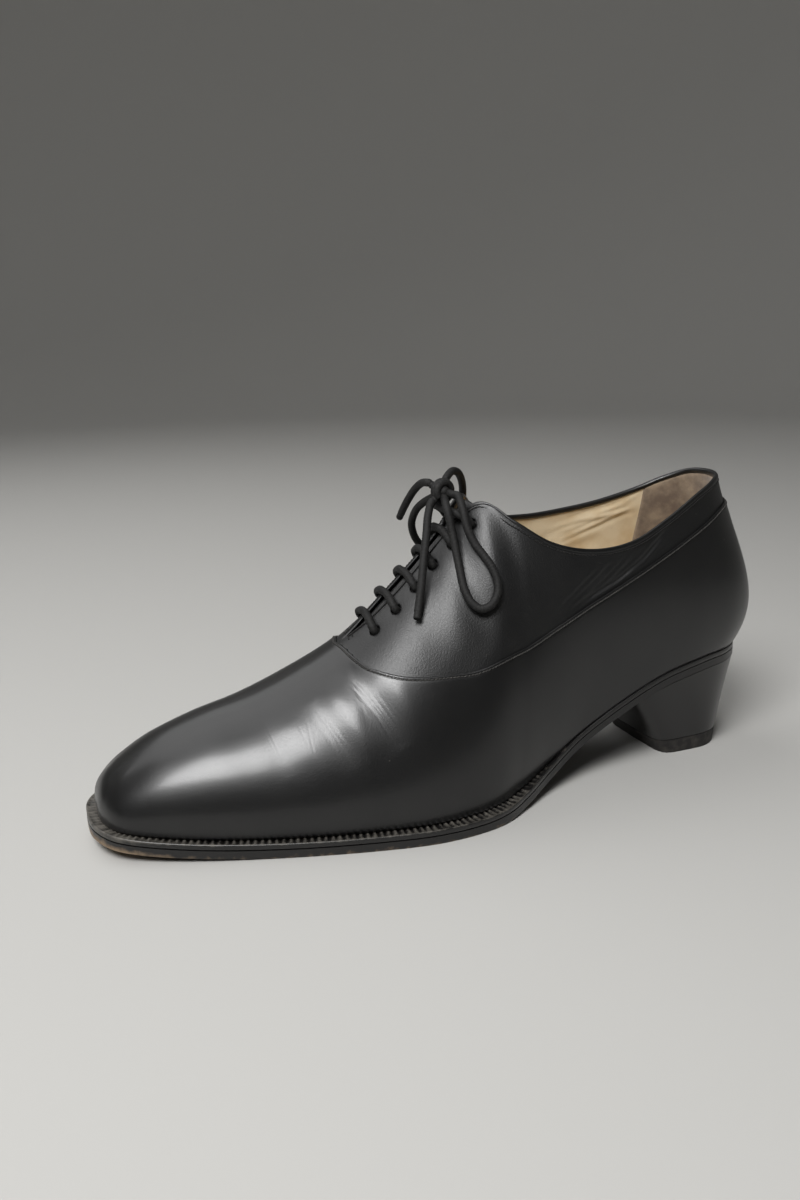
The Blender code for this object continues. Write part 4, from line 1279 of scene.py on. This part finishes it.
def binding_mesh(looks):
    """Bound edge of the collar: a strip turned over the edge, thinning out where it meets the facings."""
    height = looks.leather.binding / MM
    outline = np.array(BINDING_OUTLINE)
    least_width, least_height = BINDING_LEAST

    def point(s, turn):
        out, rise = outline[turn % len(outline)].T
        whole = ramp(COLLAR_END - np.abs(s), 0, BINDING_TAPER)
        normal = upper_normal(s % ROUND, 1.0)
        top = upper_point(s % ROUND, 1.0)
        upward = unit(top - upper_point(s % ROUND, BINDING_BELOW))
        out = out * (least_width + (1 - least_width) * whole) - BINDING_DEPTH
        rise = np.where(rise > 0, rise, rise * height) * (least_height + (1 - least_height) * whole)
        return top + normal * (out * MM)[:, None] + upward * (rise * MM)[:, None]

    bm = laid_sheet(point, collar_sections(), np.arange(len(outline) + 1))
    bmesh.ops.holes_fill(bm, edges=[edge for edge in bm.edges if edge.is_boundary], sides=0)
    bmesh.ops.recalc_face_normals(bm, faces=bm.faces)
    return bm


def lining_depth(level):
    """Depth of the lining under the outside of the last: less at the collar, where leather is skived."""
    return LINING_DEPTH + eased(COLLAR_DEPTH - LINING_DEPTH, ramp(level, *SKIVED_FROM))


def lining_mesh():
    """Lining of the whole inside, with soft folds below the collar."""
    s_list = np.linspace(-LINING_END, LINING_END, LINING_COLUMNS)
    low_rows, high_rows = LINING_ROWS
    low_shares = np.linspace(0, LINING_FINE_FROM, low_rows, endpoint=False)
    shares = np.concatenate([low_shares, np.linspace(LINING_FINE_FROM, 1.0, high_rows)])
    top, less_at_facing = LINING_TOP

    def point(s, share):
        row = row_of(s)
        facing = ramp(row, *LINING_FACING_FROM) * ramp(LINING_FACING_END[0] - row, 0, LINING_FACING_END[1])
        level = share * (top - less_at_facing * facing)
        base = upper_point(s % ROUND, level)
        lift = crease_height(base, LINING_FOLDS) - lining_depth(level)
        return base + upper_normal(s % ROUND, level) * lift[:, None]

    return laid_sheet(point, s_list, shares)


def grip_mesh():
    """Suede heel grip inside the back, cut on a slant at its front edges."""
    columns, rows = (np.linspace(0, 1, count) for count in GRIP_POINTS)

    def point(u, v):
        level = GRIP_LEVELS[0] + (GRIP_LEVELS[1] - GRIP_LEVELS[0]) * v
        reach = ROUND - (GRIP_EDGE[0] + (GRIP_EDGE[1] - GRIP_EDGE[0]) * level)
        s = (reach * (2 * u - 1)) % ROUND
        away = np.minimum(np.minimum(u, 1 - u) * 2 * reach * GRIP_SECTION, (1 - v) * GRIP_HEIGHT)
        proud = GRIP_THICKNESS * ramp(away, 0, GRIP_SKIVE)**0.5
        lift = -lining_depth(level) - GRIP_GLUE - proud
        return upper_point(s, level) + upper_normal(s, level) * lift[:, None]

    return laid_sheet(point, columns, rows)


def tongue_mesh():
    """Tongue under the facings, with its end standing above them."""
    bottom, top = TONGUE_ROWS
    last_band = TONGUE_BANDS - 1
    depth = UPPER_WALL + TONGUE_CLEARANCE
    climb = np.array((-1.0, 0.0, 1.0)) / math.sqrt(2)

    def point(u, v):
        bands = v * TONGUE_BANDS
        row = bottom + (top - bottom) * np.minimum(bands / last_band, 1.0)
        swing = np.abs(2 * u - 1)
        h = 1 - (1 - TONGUE_EDGE) * swing
        lateral_normal, medial_normal = upper_normal(row, h), upper_normal(ROUND - row, h)
        lateral = upper_point(row, h) - lateral_normal * depth
        medial = upper_point(ROUND - row, h) - medial_normal * depth
        near = np.where((u > 0.5)[:, None], lateral, medial)
        far = np.where((u > 0.5)[:, None], medial, lateral)
        share = 0.5 * np.clip(1 - swing / TONGUE_BRIDGE, 0, 1)[:, None]**2
        sheet = near * (1 - share) + far * share
        crown = TONGUE_CROWN * bell(swing, TONGUE_CROWN_WIDTH)
        sheet = sheet + unit(lateral_normal + medial_normal) * crown[:, None]
        past = np.maximum(bands - last_band, 0.0)[:, None]
        corner = (1 - TONGUE_CORNER * swing**4)[:, None]
        return sheet + climb * past * TONGUE_RISE * corner

    columns, rows = (np.linspace(0, 1, count) for count in TONGUE_POINTS)
    return laid_sheet(point, columns, rows)


def across_sole(u, v, offset, height):
    """Point of a plate under the foot: u from heel to toe, v from the medial edge to the lateral edge."""
    lateral = sole_edge(TOE_ROW * u, offset)
    medial = sole_edge((ROUND - TOE_ROW * u) % ROUND, offset)
    plan = medial + (lateral - medial) * v[:, None]
    plan[:, 2] = feather_height(plan[:, 0]) + height
    return plan


def plate_mesh(offset, height, thickness, edge):
    """Plate under the foot with rounded edges."""
    def point(u, v):
        return across_sole(u, v, offset, height)

    bm = laid_sheet(point, np.linspace(0, 1, PLATE_COLUMNS * TOE_ROW + 1), np.array((0.0, 1.0)))
    grown = bmesh.ops.extrude_face_region(bm, geom=bm.faces[:])
    lower = [item for item in grown["geom"] if isinstance(item, bmesh.types.BMVert)]
    bmesh.ops.translate(bm, verts=lower, vec=(0.0, 0.0, -thickness))
    bmesh.ops.recalc_face_normals(bm, faces=bm.faces)
    corner = math.radians(60)
    sharp = [item for item in bm.edges if item.is_manifold and item.calc_face_angle() > corner]
    bmesh.ops.bevel(bm, geom=sharp, offset=edge, offset_type="OFFSET", segments=3, profile=0.5,
                    affect="EDGES", material=-1, clamp_overlap=True)
    bmesh.ops.dissolve_degenerate(bm, edges=bm.edges, dist=WELD / 4)
    return bm


def welt_profile():
    """Corners of the welt's section in turn: the tuck, the shelf with its notches, then the outer edge."""
    shelf = [
        ("shelf", share, -share, WELT_INSIDE * (1 - share), 0.0, 0.0, (1 - share)**NOTCH_FADE)
        for share in WELT_SHELF
    ]
    return [WELT_EDGE[0], *shelf, *WELT_EDGE[1:]]


def welt_mesh(looks):
    """Welt strip with wheeled notches across its top, running on as a plain rand round the heel seat."""
    fine = np.linspace(0, ROUND, 400 * CURVE_STEPS + 1)
    length = travelled(sole_edge(fine))
    plain = 1 / WELT_STEP
    density = plain + ramp(row_of(fine), *NOTCHED_FROM) * (NOTCH_COLUMNS / looks.sole.notch - plain)
    total = np.concatenate([[0.0], np.cumsum((density[1:] + density[:-1]) / 2 * np.diff(length))])
    s_list = np.interp(np.linspace(0, total[-1], int(total[-1]) + 1), total, fine)
    profile = np.array([row[1:] for row in welt_profile()])
    names = WELT_COLUMNS[1:]

    def point(s, turn):
        corner = dict(zip(names, profile[turn % len(profile)].T))
        margin = curve_value(LAST["margin"], s)
        lip = np.minimum(WELT_LIP, WELT_LIP_SHARE * margin)
        out = corner["margin"] * margin + corner["lip"] * lip - corner["inward"] * MM
        sunk = corner["lip_down"] * lip + corner["down"] * WELT_THICKNESS
        along = np.interp(s, fine, length) / looks.sole.notch
        wave = 1 - np.abs(2 * (along % 1.0) - 1)
        groove = np.clip(NOTCH_STEEPNESS * wave - NOTCH_FLAT, 0, 1)
        notched = ramp(margin / MM, *NOTCHED_MARGIN)
        sunk = sunk + looks.sole.notch_depth * groove * corner["notch"] * notched
        plan = foot_point(s) + outward(s) * out[:, None]
        plan[:, 2] = feather_height(plan[:, 0]) - GAP - sunk
        return plan

    bm = laid_sheet(point, s_list, np.arange(len(profile) + 1))
    bmesh.ops.recalc_face_normals(bm, faces=bm.faces)
    return bm


def heel_width(share):
    """Width of the heel's outline at a share of its length: round at the back, squarer at the breast."""
    centred = 2 * share - 1
    power = np.where(centred < 0, HEEL_BACK_POWER, HEEL_BREAST_POWER)
    return (1 - np.abs(centred)**power)**(1 / power)


def heel_point(along, side, level):
    """Point of the heel block: along from back to breast, side medial to lateral, level floor to seat."""
    share = (1 - np.cos(np.pi * along)) / 2
    edge_s = np.linspace(0, THROAT_ROW, CURVE_STEPS * THROAT_ROW + 1)
    lateral_edge = sole_edge(edge_s)
    medial_edge = sole_edge((ROUND - edge_s) % ROUND)
    top_x = HEEL_TOP_BACK + (HEEL_TOP_FRONT - HEEL_TOP_BACK) * share
    front = np.where(share > 0.5, heel_width(share), 1.0)
    top_lateral = (np.interp(top_x, lateral_edge[:, 0], lateral_edge[:, 1]) - HEEL_INSET) * front
    top_medial = (np.interp(top_x, medial_edge[:, 0], medial_edge[:, 1]) + HEEL_INSET) * front
    top_y = np.where(share > 0, top_medial + (top_lateral - top_medial) * side, 0.0)
    tip_x = HEEL_TIP_BACK + HEEL_TIP_LENGTH * share
    tip_y = HEEL_TIP_WIDTH * heel_width(share) * (side - 0.5)
    top_z = feather_height(top_x) - SOLE_STACK - GAP
    blend = level**HEEL_SIDE_CURVE
    return np.stack([tip_x + (top_x - tip_x) * blend, tip_y + (top_y - tip_y) * blend, top_z * level], -1)


def heel_slice(along, side, low, high, level):
    """Point of the heel between two heights; high is None for the seat under the outsole."""
    seat = heel_point(along, side, np.ones_like(along))[:, 2]
    top = seat if high is None else high
    return heel_point(along, side, (low + (top - low) * level) / seat)


# Lacing

def lace_relief(looks):
    """Crossing strands of a round braid, as a height on the cord."""
    lacing = looks.lacing
    half = lacing.strands

    def relief(angle, length):
        turn = 2 * math.pi * length / (2 * lacing.braid)
        return lacing.relief * np.cos(half * angle + turn) * np.cos(half * angle - turn)

    return relief


def tipped(relief, length_of_cord):
    """The same braid with a smooth waxed tip on its free end, behind a fine groove."""
    def shape(angle, length):
        back = length_of_cord - length
        bound = ramp(LACE_TIP - back, 0, TIP_EDGE)
        groove = TIP_GROOVE * bell(back - LACE_TIP, TIP_EDGE)
        return relief(angle, length) * (1 - bound) - TIP_BINDING * bound - groove

    return shape


def bar_route(pair, radius, lift):
    """Lace across one pair of eyelets, lying on both facings and going down through both holes."""
    row = facing_row(FIRST_EYELET + EYELET_PITCH * pair)
    levels = eyelet_levels(row, pair, 7)[:-1]
    (turn_rise, turn_away), (sunk_drop, sunk_away) = LACE_TURN, LACE_SUNK
    sides = []
    for side_row in (row, ROUND - row):
        rows = np.full(len(levels), side_row)
        over = upper_point(rows, levels) + upper_normal(rows, levels) * (radius + lift)
        centre, normal, away = eyelet(pair, side_row)
        turn = centre + normal * (turn_rise * radius + lift) + away * turn_away * radius
        sunk = centre - normal * sunk_drop * radius + away * sunk_away * radius
        sides.append(np.vstack([over, turn, sunk]))
    lateral, medial = sides
    return np.vstack([lateral[::-1], medial])


def crossing_route(radius, lift):
    """Lace out of the top eyelets, raised in the middle to carry the knot."""
    route = bar_route(LACE_BARS, radius, lift)
    seat = KNOT_CENTRE - np.array((0.0, 0.0, KNOT_RADII[2] + LACE_DIAMETER / 2 + GAP))
    swing = np.clip(np.abs(np.linspace(-CROSSING_SPAN, CROSSING_SPAN, len(route))), 0, 1)[:, None]
    half = len(route) // 2
    middle = route[half - 1:half + 1].mean(axis=0)
    return route + (seat - middle) * (1 - swing**CROSSING_ARCH)


def at_knot(point):
    """Place beside the knot where a cord that heads for a point leaves it."""
    heading = unit(point - KNOT_CENTRE)
    surface = 1 / np.linalg.norm(heading / KNOT_RADII)
    return KNOT_CENTRE + heading * (surface + 2 * GAP)


def bow_routes():
    """Routes of the bow's loops and ends, from the knot, in metres on the last."""
    routes = {}
    for name, points in (("lace_loop_lateral", LOOP_LATERAL), ("lace_loop_medial", LOOP_MEDIAL)):
        route = np.array(points) * MM
        routes[name] = np.vstack([at_knot(route[0]), route, at_knot(route[-1])])
    for name, points in (("lace_end_lateral", END_LATERAL), ("lace_end_medial", END_MEDIAL)):
        route = np.array(points) * MM
        routes[name] = np.vstack([at_knot(route[0]), route])
    return routes


def knot_mesh(looks, routes):
    """Bow knot: the roots of every cord gathered under a strand that is wound round them."""
    bm = bmesh.new()
    radius = looks.lacing.diameter / 2
    relief = lace_relief(looks)
    roots = []
    for name, route in routes.items():
        roots.append((route[0], route[1]))
        if "loop" in name:
            roots.append((route[-1], route[-2]))
    for exit_point, beyond in roots:
        inner = KNOT_CENTRE + (exit_point - KNOT_CENTRE) * KNOT_ROOT
        root = np.vstack([inner, (inner + exit_point) / 2, exit_point, (2 * exit_point + beyond) / 3])
        swept_tube(bm, smooth_route(root, LACE_RING), radius * KNOT_ROOT_SIZE, LACE_SIDES, relief)
    core = smooth_route(KNOT_CENTRE + np.array(KNOT_CORE) * MM, LACE_RING)
    swept_tube(bm, core, KNOT_CORE_SIZE * radius, LACE_SIDES, relief, blunt=1.0)
    turn = np.linspace(*KNOT_TURNS, KNOT_WIND_POINTS) * 2 * math.pi
    drift = np.linspace(*KNOT_DRIFT, KNOT_WIND_POINTS) * MM
    ahead, aside, up = KNOT_WIND
    wind = np.stack([ahead * np.sin(turn), drift + aside * np.sin(turn), up * np.cos(turn)], -1)
    wind = smooth_route((KNOT_CENTRE + wind)[::KNOT_WIND_STEP], LACE_RING)
    swept_tube(bm, wind, radius, LACE_SIDES, relief)
    return bm


# Stitching

def stitch_row(bm, line, run, normal, looks, height, slant=0.0):
    """Add a row of stitches along a line: one thread that dips into a hole after each stitch."""
    length = travelled(line)
    count = int(length[-1] / looks.sewing.pitch)
    turn = np.arange(STITCH_RINGS * count + 1) / STITCH_RINGS
    even = turn * length[-1] / count
    route, way, up = (read_along(part, length, even) for part in (line, run, normal))
    share = turn % 1.0
    arch = 1 - (2 * share - 1)**4
    sideways = slant * looks.sewing.pitch * (share - 0.5) * arch
    lift = height + looks.sewing.thread * (STITCH_RISE - STITCH_DIP * (1 - arch))
    route = route + np.cross(up, way) * sideways[:, None] + up * lift[:, None]
    swept_tube(bm, route, looks.sewing.thread / 2, STITCH_SIDES)


def stitching_mesh(looks):
    """All rows: along the lapped edge, the collar's binding and the facings, and the tacks at the throat."""
    bm = bmesh.new()
    inset = looks.sewing.inset
    on_quarters = looks.leather.quarter_lift
    point, run, normal, below = seam_frame()
    on_vamp = looks.leather.vamp_lift - SEAM_ROW_SUNK
    stitch_row(bm, point + below * inset, run, normal, looks, on_vamp, slant=SEAM_SLANT)
    seam_faces = len(bm.faces)
    s = collar_sections(COLLAR_ROW_END)[::-1] % ROUND
    point, run, normal, below = edge_frame(s, np.ones(len(s)))
    under_binding = point + below * (looks.leather.binding + COLLAR_ROW_BELOW)
    stitch_row(bm, under_binding, run, normal, looks, on_quarters - COLLAR_ROW_SUNK)
    rows = np.linspace(*FACING_STITCHED, 400)
    for s in (rows, ROUND - rows[::-1]):
        point, run, normal, below = edge_frame(s, facing_level(s))
        stitch_row(bm, point + below * FACING_ROW_INSET * inset, run, normal, looks, on_quarters)
    lateral = [THROAT_ROW - tack for tack in TACKS]
    medial = [ROUND - THROAT_ROW + tack for tack in TACKS]
    for s in lateral + medial:
        point, run, normal, _ = edge_frame(np.full(TACK_POINTS, s), np.linspace(*TACK_LEVELS, TACK_POINTS))
        stitch_row(bm, point, run, normal, looks, on_quarters)
    bm.faces.ensure_lookup_table()
    for face in bm.faces[seam_faces:]:
        face.material_index = 1
    return bm


# Operators

class SHOE_OT_stage(bpy.types.Operator):
    """Pale floor that rises all round, soft lamps and the camera"""

    bl_idname = "shoe.make_stage"
    bl_label = "Stage"

    def execute(self, context):
        """Make floor, lamps, world and camera."""
        looks = context.scene.shoe_looks.stage
        self.add_floor(context, looks.floor)
        for name, place_at, aim, size in LAMPS:
            self.add_lamp(context, name + "_lamp", getattr(looks, name), place_at, aim, size)
        context.scene.view_settings.view_transform = "Standard"
        world = bpy.data.worlds.new("studio_room")
        context.scene.world = world
        world.use_nodes = True
        set_inputs(world.node_tree, world.node_tree.nodes["Background"], {
            "Color": rgba("#e6e8ea"), "Strength": looks.ambient})
        self.add_camera(context)
        return {"FINISHED"}

    def add_floor(self, context, colour):
        """A round floor whose rim bends up into a wall, turned from its profile."""
        bm = bmesh.new()
        profile = [(FLOOR_HUB, 0.0), (FLOOR_MIDDLE, 0.0), (FLOOR_FLAT, 0.0)]
        for angle in np.linspace(0, math.pi / 2, 13)[1:]:
            out, down = FLOOR_BEND * math.sin(angle), FLOOR_BEND * math.cos(angle)
            profile.append((FLOOR_FLAT + out, FLOOR_BEND - down))
        profile.append((FLOOR_FLAT + FLOOR_BEND, WALL_HEIGHT))
        line = [bm.verts.new((radius, 0.0, height)) for radius, height in profile]
        edges = [bm.edges.new(pair) for pair in zip(line, line[1:])]
        bmesh.ops.spin(bm, geom=line + edges, axis=(0, 0, 1), cent=(0, 0, 0), angle=2 * math.pi,
                       steps=FLOOR_STEPS, use_merge=True)
        bmesh.ops.remove_doubles(bm, verts=bm.verts, dist=0.1 * MM)
        bmesh.ops.holes_fill(bm, edges=[edge for edge in bm.edges if edge.is_boundary], sides=FLOOR_STEPS)
        bmesh.ops.recalc_face_normals(bm, faces=bm.faces)
        bmesh.ops.reverse_faces(bm, faces=bm.faces)
        mesh = bpy.data.meshes.new("studio_floor")
        bm.to_mesh(mesh)
        bm.free()
        mesh.shade_smooth()
        mesh.materials.append(plain_matt("studio_paper", colour, 0.9))
        floor = bpy.data.objects.new("studio_floor", mesh)
        context.scene.collection.objects.link(floor)

    def add_lamp(self, context, name, power, place_at, aim, size):
        """One soft rectangular lamp."""
        lamp = bpy.data.lights.new(name, "AREA")
        lamp.shape = "RECTANGLE"
        lamp.size, lamp.size_y = size
        lamp.energy = power
        holder = bpy.data.objects.new(name, lamp)
        holder.visible_camera = False
        holder.location = place_at
        holder.rotation_euler = (Vector(aim) - Vector(place_at)).to_track_quat("-Z", "Y").to_euler()
        context.scene.collection.objects.link(holder)

    def add_camera(self, context):
        """Camera at the picture's angle to the shoe, rolled as the picture is."""
        azimuth, elevation, roll = np.radians((CAMERA_AZIMUTH, CAMERA_ELEVATION, CAMERA_ROLL))
        back = np.array((
            math.cos(elevation) * math.cos(azimuth),
            math.cos(elevation) * math.sin(azimuth),
            math.sin(elevation),
        ))
        level_right = unit(np.cross(-back, (0.0, 0.0, 1.0)))
        level_up = np.cross(level_right, -back)
        right = math.cos(roll) * level_right + math.sin(roll) * level_up
        up = math.cos(roll) * level_up - math.sin(roll) * level_right
        lens = bpy.data.cameras.new("camera")
        lens.sensor_width = SENSOR_SIZE
        lens.lens = SENSOR_SIZE * FOCAL_PIXELS / PICTURE_HEIGHT
        lens.clip_start = 0.01
        camera = bpy.data.objects.new("camera", lens)
        camera.location = CAMERA_PLACE - ORIGIN
        camera.rotation_euler = Matrix((right, up, back)).transposed().to_euler()
        context.scene.collection.objects.link(camera)
        context.scene.camera = camera


class SHOE_OT_laces(bpy.types.Operator):
    """Lace bars through the eyelets, knot, loops and ends of the bow"""

    bl_idname = "shoe.make_laces"
    bl_label = "Laces"

    def execute(self, context):
        looks = context.scene.shoe_looks
        cotton = waxed_cotton("braided_cotton", looks.lacing.colour, "#232221")
        radius = looks.lacing.diameter / 2
        relief = lace_relief(looks)
        lift = looks.leather.quarter_lift + LACE_LIFT
        bars = {f"lace_bar_{pair + 1}": bar_route(pair, radius, lift) for pair in range(LACE_BARS)}
        bars["lace_crossing"] = crossing_route(radius, lift)
        for name, route in bars.items():
            self.add_lace(name, smooth_route(route, LACE_RING), radius, cotton, relief)
        routes = bow_routes()
        knot = add_piece("lace_knot_braid", knot_mesh(looks, routes), [cotton], ["lace_knot"])
        for name, route in routes.items():
            line = smooth_route(route, LACE_RING)
            whole = float(travelled(line)[-1])
            loop = "loop" in name
            piece = self.add_lace(name, line, radius, cotton, relief if loop else tipped(relief, whole))
        return {"FINISHED"}

    def add_lace(self, name, line, radius, cotton, relief):
        """One stretch of lace along a line, in place of its solid."""
        bm = bmesh.new()
        swept_tube(bm, line, radius, LACE_SIDES, relief)
        return add_piece(name + "_braid", bm, [cotton], [name])


class SHOE_OT_vamp(bpy.types.Operator):
    """Lower panel of polished calf"""

    bl_idname = "shoe.make_vamp"
    bl_label = "Vamp"

    def execute(self, context):
        """Make the lower panel."""
        looks = context.scene.shoe_looks
        leather = looks.leather
        calf = grained_leather("polished_box_calf", leather.calf, leather.calf_worn,
                               0.42 * MM, 0.030 * MM, (0.36, 0.28, 0.18))
        piece = add_piece("vamp", vamp_mesh(looks), [calf], ["upper"])
        add_wall(piece, leather.thickness)
        return {"FINISHED"}


class SHOE_OT_quarters(bpy.types.Operator):
    """Quarters of softer calf with punched eyelets, and the collar's binding"""

    bl_idname = "shoe.make_quarters"
    bl_label = "Quarters"

    def execute(self, context):
        """Make quarters and binding."""
        looks = context.scene.shoe_looks
        leather = looks.leather
        soft = grained_leather("soft_grain_calf", leather.soft_calf, leather.calf_worn,
                               0.46 * MM, 0.105 * MM, (0.44, 0.12, 0.28))
        piece = add_piece("quarters", quarters_mesh(looks), [soft])
        add_wall(piece, leather.thickness)
        binding = grained_leather("binding_calf", leather.calf, leather.calf_worn,
                                  0.5 * MM, 0.05 * MM, (0.36, 0.2, 0.2))
        add_piece("collar_binding", binding_mesh(looks), [binding], sharp_angle=80)
        return {"FINISHED"}


class SHOE_OT_lining(bpy.types.Operator):
    """Tan lining, suede heel grip and insole cover"""

    bl_idname = "shoe.make_lining"
    bl_label = "Lining"

    def execute(self, context):
        """Make everything that shows inside."""
        leather = context.scene.shoe_looks.leather
        tan = lining_leather(leather.lining, leather.lining_shadow)
        piece = add_piece("lining", lining_mesh(), [tan])
        # Painted shade: the lining is blackened round the eyelets and below the facing edges, where shade
        # falls behind the facings.
        spots = vertex_places(piece)
        from_eyelet, _ = nearest_on([centre for centre, _, _ in all_eyelets()], spots)
        from_edge, _ = nearest_on(both_sides(np.linspace(PAINTED_SHADE_FROM, THROAT_ROW, 200), 1.0), spots)
        inside = np.maximum(PAINTED_SHADE_ROUND_EYELET - from_eyelet, PAINTED_SHADE_BELOW_EDGE - from_edge)
        paint(piece, "inked", np.clip(inside / MM, 0, 1))
        add_wall(piece, LINING_THICKNESS)
        taupe = suede(leather.grip, "#95846f")
        add_wall(add_piece("heel_grip", grip_mesh(), [taupe]), GRIP_WALL)
        bm = plate_mesh(-INSOLE_INSET, INSOLE_THICKNESS, INSOLE_THICKNESS, 0.4 * MM)
        add_piece("insole_cover", bm, [tan], ["insole"])
        return {"FINISHED"}


class SHOE_OT_tongue(bpy.types.Operator):
    """Tongue, black outside and tan inside"""

    bl_idname = "shoe.make_tongue"
    bl_label = "Tongue"

    def execute(self, context):
        """Make the tongue."""
        leather = context.scene.shoe_looks.leather
        black = grained_leather("tongue_calf", leather.soft_calf, leather.calf_worn,
                                0.7 * MM, 0.08 * MM, (0.42, 0.1, 0.25))
        tan = lining_leather(leather.lining, leather.lining_shadow)
        piece = add_piece("tongue_leather", tongue_mesh(), [black, tan], ["tongue"])
        wall = add_wall(piece, TONGUE_THICKNESS * 0.8, inner_material=1)
        wall.material_offset_rim = 1
        return {"FINISHED"}


class SHOE_OT_stitching(bpy.types.Operator):
    """All rows of stitches on the upper"""

    bl_idname = "shoe.make_stitching"
    bl_label = "Stitching"

    def execute(self, context):
        """Make the stitches as one mesh."""
        looks = context.scene.shoe_looks
        thread = waxed_cotton("waxed_thread", looks.sewing.colour, "#4e4c49")
        black = waxed_cotton("black_thread", looks.lacing.colour, "#2b2927")
        add_piece("stitching", stitching_mesh(looks), [thread, black], sharp_angle=180)
        return {"FINISHED"}


class SHOE_OT_welt(bpy.types.Operator):
    """Notched welt"""

    bl_idname = "shoe.make_welt"
    bl_label = "Welt"

    def execute(self, context):
        """Make the welt, its lip and the crowns of its notches painted paler as a highlight, and rubbed round
        the toe.
        """
        looks = context.scene.shoe_looks
        # 6a665f is the pale grey of the painted highlight on the welt's lip and notch crowns, and of its
        # rubbed toe.
        ink = edge_leather("inked_welt", looks.sole.ink, "#6a665f", 0.36, 0.75)
        piece = add_piece("welt_strip", welt_mesh(looks), [ink], ["welt"], sharp_angle=70)
        x, _, z = vertex_places(piece).T
        drop = feather_height(x) - GAP - z
        # Painted highlight: the lip and crown terms make the lip and the crowns of the notches paler; the
        # side and toe terms are rubbing at the toe.
        lip = bell(drop - 0.3 * MM, 0.35 * MM)
        crown = bell(np.minimum(drop, 0), 1.0) * np.clip(1 - drop / (0.25 * MM), 0, 1)
        side = ramp(drop, 0.2 * MM, 0.3 * MM)
        forward = np.maximum(ramp(x, *RUBBED_FROM), 0.2)
        toe = ramp(x, *WELT_TOE)
        paint(piece, "wear", (0.30 * lip + 0.34 * crown) * forward + (0.08 + 0.32 * side) * toe)
        return {"FINISHED"}


class SHOE_OT_outsole(bpy.types.Operator):
    """Leather outsole with a worn edge"""

    bl_idname = "shoe.make_outsole"
    bl_label = "Outsole"

    def execute(self, context):
        """Make the outsole: black edge, bare leather where the ground has rubbed it."""
        sole = context.scene.shoe_looks.sole
        ink = edge_leather("inked_sole_edge", sole.ink, sole.bare, 0.42, 1.0)
        bm = plate_mesh(None, OUTSOLE_THICKNESS - SOLE_STACK, OUTSOLE_THICKNESS, sole.edge)
        piece = add_piece("outsole_plate", bm, [ink], ["outsole"])
        x, _, z = vertex_places(piece).T
        height = z - (feather_height(x) - SOLE_STACK)
        rim = bell(height, 0.45 * MM)
        edge_toe = ramp(x, *SOLE_TOE) * np.clip(1 - height / (3.2 * MM), 0.35, 1)
        forward = np.maximum(ramp(x, *RUBBED_FROM), 0.3)
        paint(piece, "wear", 0.34 * rim * forward + 0.44 * edge_toe)
        return {"FINISHED"}


class SHOE_OT_heel(bpy.types.Operator):
    """Tapered heel block and its rubber top piece"""

    bl_idname = "shoe.make_heel"
    bl_label = "Heel"

    def execute(self, context):
        """Make block and top piece with softened corners."""
        sole = context.scene.shoe_looks.sole
        low = TOP_PIECE_THICKNESS + GAP

        def block(along, side, level):
            return heel_slice(along, side, low, None, level)

        def top_piece(along, side, level):
            return heel_slice(along, side, 0.0, TOP_PIECE_THICKNESS, level)

        ink = edge_leather("inked_heel_stack", sole.ink, "#4a4038", 0.34, 0.6)
        piece = add_piece("heel_block", laid_block(block, HEEL_CUTS), [ink], ["heel"])
        paint(piece, "wear", 0.12 * bell(vertex_places(piece)[:, 2] - low, 2.0 * MM))
        self.soften(piece, 0.5 * MM)
        rubber = heel_rubber("#1d1b1a", "#3b3733")
        bm = laid_block(top_piece, LIFT_CUTS)
        piece = add_piece("top_piece_lift", bm, [rubber], ["top_piece"])
        self.soften(piece, 0.4 * MM)
        return {"FINISHED"}

    def soften(self, piece, width):
        """Round the sharp edges of a block."""
        modifier = piece.modifiers.new("Softened", "BEVEL")
        modifier.width = width
        modifier.segments = 2
        modifier.limit_method = "ANGLE"
        modifier.angle_limit = math.radians(50)


class SHOE_PT_panel(bpy.types.Panel):
    """List of the shoe's pieces in the sidebar"""

    bl_label = "Shoe"
    bl_idname = "SHOE_PT_panel"
    bl_space_type = "VIEW_3D"
    bl_region_type = "UI"
    bl_category = "Shoe"

    def draw(self, context):
        """Show every setting and one button for each operator."""
        looks = context.scene.shoe_looks
        for name in ("leather", "sewing", "lacing", "sole", "stage"):
            group = getattr(looks, name)
            box = self.layout.box()
            box.label(text=name.title())
            for setting in group.__annotations__:
                box.prop(group, setting)
        for operator in OPERATORS:
            self.layout.operator(operator.bl_idname)


GROUPS = (ShoeLeather, ShoeSewing, ShoeLacing, ShoeSole, ShoeStage, ShoeLooks)
OPERATORS = (
    SHOE_OT_stage, SHOE_OT_laces, SHOE_OT_vamp, SHOE_OT_quarters, SHOE_OT_lining, SHOE_OT_tongue,
    SHOE_OT_stitching, SHOE_OT_welt, SHOE_OT_outsole, SHOE_OT_heel,
)


def register():
    """Register the classes and the scene's settings."""
    for item in (*GROUPS, *OPERATORS, SHOE_PT_panel):
        bpy.utils.register_class(item)
    bpy.types.Scene.shoe_looks = bpy.props.PointerProperty(type=ShoeLooks)


def unregister():
    """Remove the scene's settings and the classes."""
    del bpy.types.Scene.shoe_looks
    for item in reversed((*GROUPS, *OPERATORS, SHOE_PT_panel)):
        bpy.utils.unregister_class(item)


def main():
    register()
    for operator in OPERATORS:
        group, name = operator.bl_idname.split(".")
        getattr(getattr(bpy.ops, group), name)()


if __name__ == "__main__":
    main()
